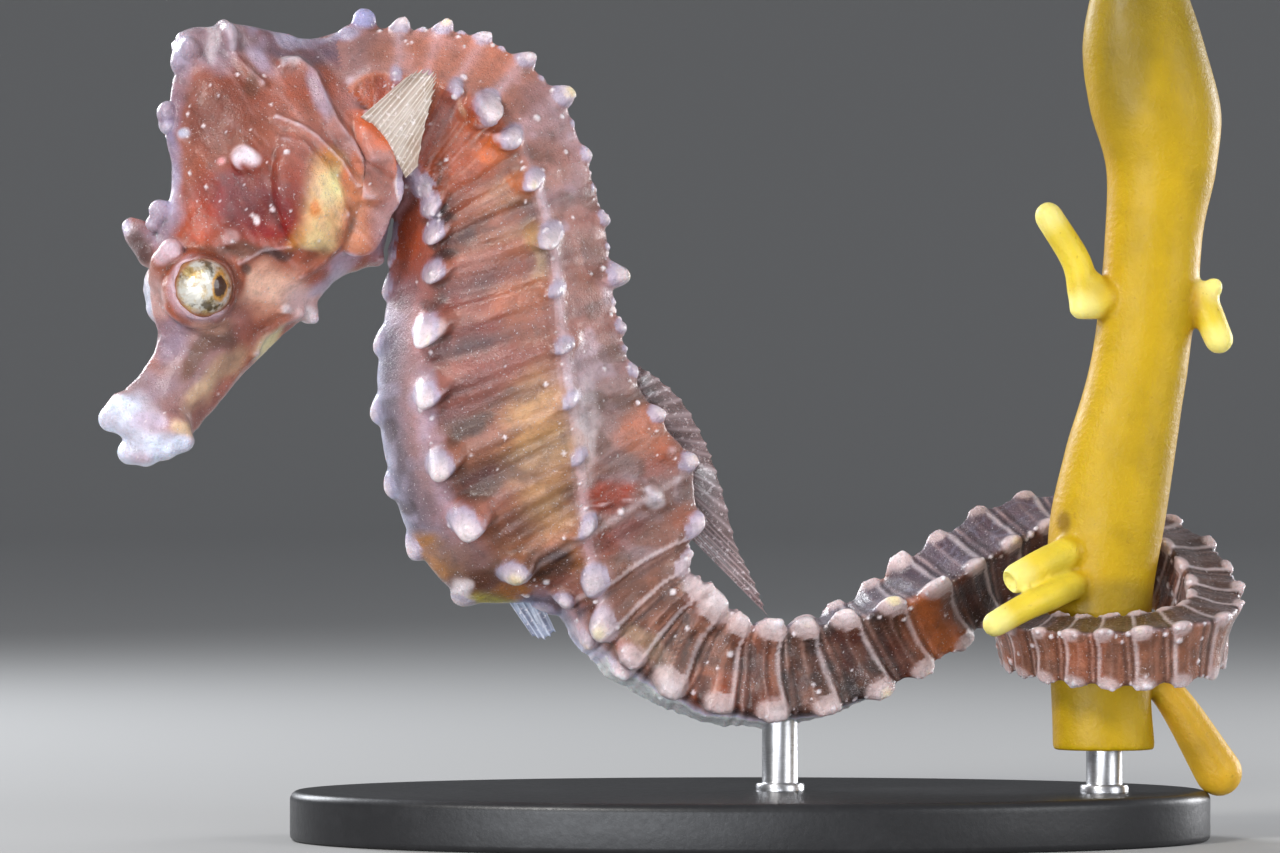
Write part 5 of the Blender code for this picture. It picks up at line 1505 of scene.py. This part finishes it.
def seaweed_material():
    n = Nodes("seaweed")
    place = n.place()
    tone = n.add("ShaderNodeAttribute", attribute_name="tone").outputs["Color"]
    cloud = n.cloud(place, 0.5, 3, 0.5, 0.3, 0.7, 0.86, 1.1)
    colour = n.mix(1.0, tone, n.mix(cloud, BLACK, WHITE), "MULTIPLY")
    speck = n.cloud(place, 3.2, 2, 0.5, 0.68, 0.76)
    colour = n.mix(n.math("MULTIPLY", speck, 0.35), colour, (150, 112, 20))
    fine = n.cloud(place, 4.0, 4, 0.6, 0.2, 0.8)
    n.set(Base_Color=colour, Roughness=n.cloud(place, 1.4, 3, 0.5, 0.3, 0.7, 0.38, 0.56),
          Normal=n.bump(fine, 0.5, 0.06), Subsurface_Weight=0.3, Subsurface_Radius=(1.0, 0.7, 0.1),
          Subsurface_Scale=0.0008, Specular_IOR_Level=0.3, Coat_Weight=0.08, Coat_Roughness=0.25)
    return n.material


def fin_material(name, colour, spine, see_through, blotch):
    """A thin membrane, more solid along its rays."""
    n = Nodes(name)
    place = n.place()
    ray = n.add("ShaderNodeAttribute", attribute_name="ray").outputs["Fac"]
    bead = n.cloud(place, 5.0, 2, 0.5, 0.58, 0.68)
    cloud = n.cloud(place, 1.4, 3, 0.5, 0.35, 0.65)
    tone = n.mix(cloud, colour, blotch)
    tone = n.mix(n.math("MULTIPLY", ray, 0.55), tone, spine)
    tone = n.mix(n.math("MULTIPLY", bead, 0.5), tone, PALE)
    solid = n.math("ADD", n.math("MULTIPLY", ray, 0.4), n.math("MULTIPLY", bead, 0.35))
    solid = n.math("ADD", solid, n.math("MULTIPLY", cloud, 0.2))
    n.set(Base_Color=tone, Roughness=0.3, Coat_Weight=0.4, Coat_Roughness=0.15, Subsurface_Weight=0.2,
          Subsurface_Radius=(1.0, 0.7, 0.6), Subsurface_Scale=0.0003,
          Alpha=n.stretch(solid, 0.0, 0.9, 1 - see_through, 1.0))
    return n.material


def eye_material():
    """Gold and silver iris, a dark upright pupil and a wet surface."""
    n = Nodes("eye")
    ring = n.add("ShaderNodeAttribute", attribute_name="eye_ring").outputs["Fac"]
    turn = n.add("ShaderNodeAttribute", attribute_name="eye_turn").outputs["Vector"]
    place = n.place()
    streak = n.cloud(turn, 4.0, 4, 0.6, 0.25, 0.75)
    gold = n.mix(streak, (136, 88, 34), (232, 206, 140))
    silver = n.cloud(place, 0.9, 4, 0.6, 0.46, 0.58)
    iris = n.mix(n.math("MULTIPLY", silver, 0.85), gold, (232, 232, 226))
    moss = n.cloud(place, 1.3, 3, 0.6, 0.56, 0.66)
    iris = n.mix(n.math("MULTIPLY", moss, 0.85), iris, (84, 66, 26))
    amber = n.stretch(ring, 0.62, 0.76)
    iris = n.mix(amber, iris, (170, 104, 52))
    rim = n.stretch(ring, 0.76, 0.86)
    iris = n.mix(rim, iris, (64, 38, 30))
    hole = n.add("ShaderNodeAttribute", attribute_name="pupil").outputs["Fac"]
    uneven = n.math("ADD", hole, n.cloud(place, 1.6, 3, 0.6, 0.3, 0.7, -0.22, 0.22))
    iris = n.mix(n.stretch(uneven, 0.1, 0.4), iris, (206, 150, 66))
    colour = n.mix(n.stretch(uneven, 0.42, 0.66), iris, (62, 32, 16))
    n.set(Base_Color=colour, Roughness=0.3, Metallic=n.stretch(hole, 0.2, 0.6, 0.45, 0.0),
          Normal=n.bump(streak, 0.5, 0.08), Coat_Weight=1.0, Coat_Roughness=0.03, Coat_IOR=1.45)
    return n.material


def base_material():
    n = Nodes("stand_black")
    place = n.place()
    fine = n.cloud(place, 3.0, 5, 0.6, 0.2, 0.8)
    wear = n.cloud(place, 0.25, 5, 0.7, 0.5, 0.8)
    colour = n.mix(wear, (30, 30, 32), (46, 46, 48))
    n.set(Base_Color=colour, Roughness=n.math("ADD", n.math("MULTIPLY", fine, 0.1), 0.34),
          Normal=n.bump(fine, 0.25, 0.03), Specular_IOR_Level=0.5)
    return n.material


def rod_material():
    n = Nodes("rod_steel")
    place = n.place()
    stretch = n.add("ShaderNodeMapping")
    stretch.inputs["Scale"].default_value = (1.0, 1.0, 14.0)
    n.join(place, stretch.inputs["Vector"])
    brushed = n.cloud(stretch.outputs["Vector"], 2.0, 4, 0.6, 0.2, 0.8)
    colour = n.mix(brushed, (168, 168, 170), (206, 206, 208))
    n.set(Base_Color=colour, Metallic=1.0, Roughness=n.math("ADD", n.math("MULTIPLY", brushed, 0.16), 0.24),
          Normal=n.bump(brushed, 0.2, 0.02))
    return n.material


def floor_material():
    n = Nodes("floor")
    n.set(Base_Color=(0.4, 0.4, 0.395, 1), Roughness=0.75)
    return n.material


# Pieces

def dress(thing, material, slot, *nodes):
    """Gives a piece its material, hangs it on the root body and hides the solids that it stands in for. The
    slot is not used.
    """
    thing.data.materials.clear()
    thing.data.materials.append(material)
    thing.data.shade_smooth()
    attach(thing, "root")
    if nodes:
        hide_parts(*nodes)
    return thing


def colour_layer(mesh, name, values):
    layer = mesh.attributes.new(name, "FLOAT_COLOR", "POINT")
    values = np.column_stack([values, np.ones(len(values))])
    layer.data.foreach_set("color", values.astype(np.float32).ravel())


def value_layer(mesh, name, values):
    layer = mesh.attributes.new(name, "FLOAT", "POINT")
    layer.data.foreach_set("value", np.asarray(values, np.float32))


def make_skin():
    mesh, relax, points = skin_mesh()
    places = carried_places(points, relax)
    sharp, broad, glow = shaped(mesh, relax, places)
    points = mesh_points(mesh)
    colour_layer(mesh, "tone", skin_colour(points, places, sharp, broad, glow))
    set_points(mesh, points * MM)
    dress(placed("seahorse_skin", mesh), skin_material(), "skin", "head", "snout", "coronet", "neck", "trunk",
          "tail_base", "tail_middle", "tail_behind_stem", "tail_right_turn", "tail_front_turn", "tail_tip")


def make_eyes():
    material = eye_material()
    for side, name in ((1, "eye_left"), (-1, "eye_right")):
        points, faces = closed_loft(ball_rows(72, 48)[..., [2, 0, 1]])
        points[-2:] = ((1, 0, 0), (-1, 0, 0))
        out = eye_way(side)
        up = unit(np.array([0, 0, 1.0]) - out[2] * out)
        axes = np.array([out, np.cross(up, out) * side, up])
        angle = np.degrees(np.arccos(np.clip(points[:, 0], -1, 1)))
        bulge = 1 + 0.045 * (1 - between(angle, 20, 62))
        ball = points * bulge[:, None] * EYEBALL_SHARE * EYE_RADIUS
        thing = new_object(name + "_ball", ball @ axes + eye_place(side), faces)
        value_layer(thing.data, "eye_ring", np.clip(angle / 78, 0, 1))
        layer = thing.data.attributes.new("eye_turn", "FLOAT_VECTOR", "POINT")
        turn = np.arctan2(points[:, 2], points[:, 1])
        wheel = np.column_stack([np.cos(turn) * 1.5, np.sin(turn) * 1.5, angle / 90])
        layer.data.foreach_set("vector", wheel.astype(np.float32).ravel())
        pupil = np.hypot((points[:, 1] - PUPIL_PLACE) / PUPIL_HALF_WIDTH, points[:, 2] / PUPIL_HALF_HEIGHT)
        value_layer(thing.data, "pupil", np.where(points[:, 0] > 0, np.clip(1.5 - pupil, 0, 1), 0))
        dress(thing, material, "eye", name)


def fin(name, roots, tips, rays, rows, thickness, ridge, material, wave=0.0, scallop=0.0, beading=0.35):
    """A thin closed membrane between a root line and an edge line, with a raised ray on every column."""
    columns = rays * 10 + 1
    shares = np.linspace(0, 1, columns)
    roots, tips = (spline(np.column_stack([np.linspace(0, 1, len(line)), line]), shares)
                   for line in (roots, tips))
    ray = (0.5 + 0.5 * np.cos(2 * math.pi * shares * rays)) ** 4
    depth = np.linspace(0, 1, rows)
    reach = 1 - scallop * (1 - ray)
    out = depth * (1 - (1 - reach[:, None]) * depth**2)
    grid = roots[:, None] + (tips - roots)[:, None] * out[..., None]
    middle_row, middle_ray = grid[:, rows // 2], grid[columns // 2]
    across = unit(np.cross(middle_row[-1] - middle_row[0], middle_ray[-1] - middle_ray[0]))
    swing = wave * np.sin(2 * math.pi * shares * 2.5)[:, None] * depth[None] ** 2
    grid = grid + across * swing[..., None]
    beads = beading * (0.5 + 0.5 * np.sin(2 * math.pi * depth * rows / 5))[None] ** 2
    proud = thickness / 2 * (1 - 0.5 * depth) + ridge * ray[:, None] * (1 - 0.6 * depth) * (1 + beads)
    front, back = grid + across * proud[..., None], grid - across * proud[..., None]
    loops = np.concatenate([front, back[:, ::-1]], axis=1)
    points, faces = closed_loft(loops)
    thing = new_object(name, points, faces)
    strong = np.repeat(ray[:, None], rows, axis=1)
    strong = np.concatenate([strong, strong[:, ::-1]], axis=1)
    value_layer(thing.data, "ray", np.concatenate([strong.ravel(), [0, 0]]))
    return dress(thing, material, "fin", name.replace("_membrane", ""))


# Outlines of the fins on the picture, from their first ray to their last.
PECTORAL_ROOT_PIXELS = ((361, 117), (376, 128), (388, 146), (398, 162), (406, 178))
PECTORAL_EDGE_PIXELS = ((409, 75), (422, 69), (436, 73), (436, 84), (428, 116), (418, 166))
PECTORAL_ROOT_Y = -3.75
PECTORAL_EDGE_Y = -4.75
DORSAL_EDGE_PIXELS = (
    (640, 366), (660, 379), (684, 402), (703, 435), (714, 462), (726, 501), (737, 545), (749, 570),
    (760, 594), (768, 616),
)
ANAL_ROOT_PIXELS = ((506, 598), (520, 598), (538, 594))
ANAL_EDGE_PIXELS = ((533, 637), (545, 640), (556, 632))


def along_pixels(pixels, y):
    return np.array([at_pixel(px, py, y) for px, py in pixels])


def make_fins():
    frames = [body_frame(float(ring)) for ring in DORSAL_ROOT_RINGS]
    centre, half = np.array([frame[0] for frame in frames]), np.array([frame[1] for frame in frames])
    roots = centre + half * (2 * BACK_OF_BODY - 1) - half * 0.08
    dark = fin_material("dorsal_fin", (150, 126, 128), (186, 170, 174), 0.52, (112, 88, 86))
    edge = along_pixels(DORSAL_EDGE_PIXELS, 0.0)
    fin("dorsal_fin_membrane", roots, edge, 19, 26, 0.18, 0.016, dark, wave=0.16, scallop=0.04)
    pale = fin_material("anal_fin", (176, 188, 214), (222, 230, 246), 0.35, (120, 126, 150))
    roots, edge = along_pixels(ANAL_ROOT_PIXELS, 0.0), along_pixels(ANAL_EDGE_PIXELS, -0.2)
    fin("anal_fin_membrane", roots, edge, 4, 16, 0.14, 0.06, pale, wave=0.06, scallop=0.05)
    cream = fin_material("pectoral_fin", (204, 190, 178), (236, 228, 220), 0.42, (176, 158, 142))
    roots = unturned(along_pixels(PECTORAL_ROOT_PIXELS, PECTORAL_ROOT_Y))
    edge = unturned(along_pixels(PECTORAL_EDGE_PIXELS, PECTORAL_EDGE_Y))
    for side, name in ((1, "pectoral_fin_left_membrane"), (-1, "pectoral_fin_right_membrane")):
        fin(name, turned(roots * (1, side, 1)), turned(edge * (1, side, 1)), 14, 22, 0.13, 0.022, cream,
            wave=0.1, scallop=0.07, beading=0.0)


YELLOW = (194, 158, 2)
SHADE_YELLOW = (178, 134, 20)
LEMON = (238, 214, 70)
PALE_TIP = (248, 238, 150)
# Stains of the stem, and painted shade on its front just over the coil: patches as on the head.
CUT_STAINS = ((1128, 40, 34, 130, 8, (120, 100, 20), 0.6),)
FRONT_STAINS_AND_SHADE = ((1064, 522, 9, 14, 0, (120, 86, 20), 0.7), (1118, 600, 60, 26, 0, (120, 100, 30), 0.5))


def stem_form():
    """The stem as an uneven oval tube."""
    heights = np.linspace(STEM_ROWS[0][0], STEM_ROWS[-1][0], 200)
    t = np.linspace(0, 2 * math.pi, 72, endpoint=False)
    centre, half = spline(STEM_ROWS, heights).T[..., None]
    sections = np.stack([centre + half * np.cos(t), STEM_Y + half * STEM_DEPTH * np.sin(t),
                         np.broadcast_to(heights[:, None], (len(heights), len(t)))], axis=-1)
    swell = noise(sections, 5.0, 41) * 0.09 + noise(sections, 1.8, 42) * 0.02
    outward = unit(sections - sections.mean(axis=1, keepdims=True))
    return closed_loft(sections + outward * swell[..., None])


def hollowed(points):
    """Draws in the cut end of the one hollow shoot."""
    line, radii = SHOOTS[HOLLOW_SHOOT]
    line = np.array(line)
    ahead = unit(line[2] - line[1])
    end = line[2] + ahead * radii[2]
    reach = (points - end) @ ahead
    off_axis = np.linalg.norm(points - end - reach[:, None] * ahead, axis=1)
    inside = (reach > -0.9) & (off_axis < 1.2)
    sunk = HOLLOW_DEPTH * (1 - between(off_axis, HOLLOW_RADIUS * 0.5, HOLLOW_RADIUS))
    return points - ahead * (inside * (sunk + np.clip(reach + 0.3, 0, 1)))[:, None]


def seaweed_colour(points):
    """Mustard yellow with painted shade on its left and right edges, at the feet of the shoots and just over
    the coil, duller at its top, with paler shoots and a few stains.
    """
    centre, half = spline(STEM_ROWS, points[:, 2]).T
    off = np.hypot((points[:, 0] - centre) / half, (points[:, 1] - STEM_Y) / (half * STEM_DEPTH))
    shoot, side = between(off, 1.08, 1.3), np.abs(points[:, 0] - centre) / half
    front, shown = points[:, 1] < STEM_Y, photo_place(points)
    paint = Paint(YELLOW, len(points))
    # Painted shade: darker towards the stem's left and right edges.
    paint.add(SHADE_YELLOW, between(side, 0.72, 1.0) * 0.55 * (1 - shoot))
    paint.add((136, 114, 8), between(points[:, 2], 32.0, 42.0) * 0.7)
    paint.patches(shown, CUT_STAINS)
    paint.add(LEMON, shoot * 0.75)
    paint.add((222, 168, 36), shoot * (points[:, 2] < 9) * 0.8)
    for line, _ in SHOOTS[:-1]:
        root, tip = (np.linalg.norm(points - np.array(end), axis=1) for end in (line[0], line[-1]))
        paint.add(PALE_TIP, (1 - between(tip, 0.5, 1.3)) * 0.8)
        # Painted shade: darker where each shoot meets the stem.
        paint.add(SHADE_YELLOW, (1 - between(root, 0.6, 1.6)) * 0.3)
    # A small stain and painted shade just over the coil, on the stem's front only.
    paint.patches(shown, FRONT_STAINS_AND_SHADE, front)
    uneven = 1 + 0.08 * noise(points, 2.5, 43)[:, None] + 0.05 * noise(points, 0.8, 44)[:, None]
    return np.clip(paint.colour * uneven, 0, 1)


def make_seaweed():
    shoots = [lobe(points, radii, sides=28, steps=12) for points, radii in SHOOTS]
    mesh = remeshed("seaweed", [stem_form(), *shoots], 0.14)
    points = hollowed(Relaxer(mesh).smooth(mesh_points(mesh), 6))
    colour_layer(mesh, "tone", seaweed_colour(points))
    set_points(mesh, points * MM)
    dress(placed("seaweed_stem", mesh), seaweed_material(), "seaweed", "perch_stem")


def make_stand():
    turns = np.linspace(0, 2 * math.pi, 180, endpoint=False)

    def rim(inset, z):
        length, width = BASE_LENGTH / 2 - inset, BASE_WIDTH / 2 - inset
        return [(length * math.cos(a), width * math.sin(a), z) for a in turns]

    edge = [(0.25, 0.0), (0.1, 0.06), (0.02, 0.18), (0.0, 0.35), (0.0, 1.2), (0.0, BASE_HEIGHT - 0.55)]
    edge += [(0.45 * (1 - math.cos(a)), BASE_HEIGHT - 0.45 + 0.45 * math.sin(a))
             for a in np.linspace(0.1, math.pi / 2, 9)]
    edge += [(2.0, BASE_HEIGHT), (6.0, BASE_HEIGHT)]
    points, faces = closed_loft([rim(inset, z) for inset, z in edge])
    base = new_object("stand_base_plate", points, faces)
    dress(base, base_material(), "base", "stand_base")
    base.data.set_sharp_from_angle(angle=math.radians(40))
    steel = rod_material()
    stem_x = stem_at(STEM_ROWS[0][0])[0]
    tail_z = float(np.interp(TAIL_ROD_X, TAIL_POINTS[:300, 0], TAIL_POINTS[:300, 2]))
    for name, x, y, top in (("stand_rod_perch", stem_x, STEM_Y, STEM_ROWS[0][0] + 0.25),
                            ("stand_rod_tail", TAIL_ROD_X, 0.0, tail_z - 1.9)):
        profile = [*ROD_FOOT, (1.0, top)]
        ring = [(ROD_RADIUS * math.cos(a), ROD_RADIUS * math.sin(a)) for a in turns[::3]]
        sections = [[(x + share * right, y + share * back, z) for right, back in ring]
                    for share, z in profile]
        points, faces = closed_loft(sections)
        rod = new_object(name + "_steel", points, faces)
        dress(rod, steel, "rod", name)
        rod.data.set_sharp_from_angle(angle=math.radians(35))


def make_stage():
    """A pale round floor that curves up far from the object, so that every view has a plain ground."""
    bend = np.linspace(0, math.pi / 2, 24)
    profile = [(0.001, 0.0), (0.5, 0.0)]
    profile += [(0.9 + 0.6 * math.sin(a), 0.6 - 0.6 * math.cos(a)) for a in bend]
    profile += [(1.5, 0.9)]
    turns = np.linspace(0, 2 * math.pi, 96, endpoint=False)
    points = [(r * math.cos(a), r * math.sin(a), z) for r, z in profile for a in turns]
    faces = tube_faces(len(profile), len(turns), capped=False)
    faces.append(tuple(range(len(turns))))
    floor = new_object("floor", points, faces, scale=1.0)
    floor.data.shade_smooth()
    floor.data.materials.append(floor_material())


def area_light(name, place, target, size, power, colour):
    light = bpy.data.lights.new(name, "AREA")
    light.shape = "RECTANGLE"
    light.size, light.size_y = size
    light.energy = power
    light.color = colour
    back = unit(np.subtract(place, target))
    right = unit(np.cross((0, 0, 1.0), back))
    turn = np.column_stack([right, np.cross(back, right), back])
    placed(name, light).matrix_world = Matrix.Translation(place) @ Matrix(turn.tolist()).to_4x4()


def make_light_and_camera():
    area_light("key", (-0.17, -0.24, 0.2), (-0.004, 0, 0.024), (0.08, 0.08), 0.76, (1.0, 0.98, 0.95))
    area_light("fill", (0.25, -0.2, 0.09), (0.0, 0, 0.02), (0.16, 0.16), 0.4, (0.95, 0.97, 1.0))
    area_light("low", (-0.1, -0.24, 0.009), (-0.002, 0, 0.011), (0.2, 0.014), 0.32, (0.9, 0.94, 1.0))
    area_light("rim_left", (-0.17, 0.15, 0.12), (-0.006, 0, 0.024), (0.1, 0.1), 0.55, (0.92, 0.95, 1.0))
    area_light("rim_right", (0.2, 0.13, 0.05), (0.0, 0, 0.022), (0.08, 0.08), 0.4, (0.96, 0.97, 1.0))
    world = bpy.data.worlds.new("studio")
    bpy.context.scene.world = world
    world.use_nodes = True
    sky = world.node_tree.nodes["Background"].inputs
    sky["Color"].default_value = (0.9, 0.93, 1.0, 1)
    sky["Strength"].default_value = 0.35
    lens = bpy.data.cameras.new("camera")
    camera = placed("camera", lens)
    camera.location = (CAMERA_X * MM, -CAMERA_FAR * MM, CAMERA_Z * MM)
    camera.rotation_euler = (math.pi / 2, 0, 0)
    lens.sensor_fit = "HORIZONTAL"
    lens.angle = 2 * math.atan(PICTURE[0] / 2 * PIXEL / CAMERA_FAR)
    lens.clip_start = 0.01
    lens.clip_end = 10
    bpy.context.scene.camera = camera
    bpy.context.scene.view_settings.view_transform = "Standard"


make_skin()
make_eyes()
make_fins()
make_seaweed()
make_stand()
make_stage()
make_light_and_camera()
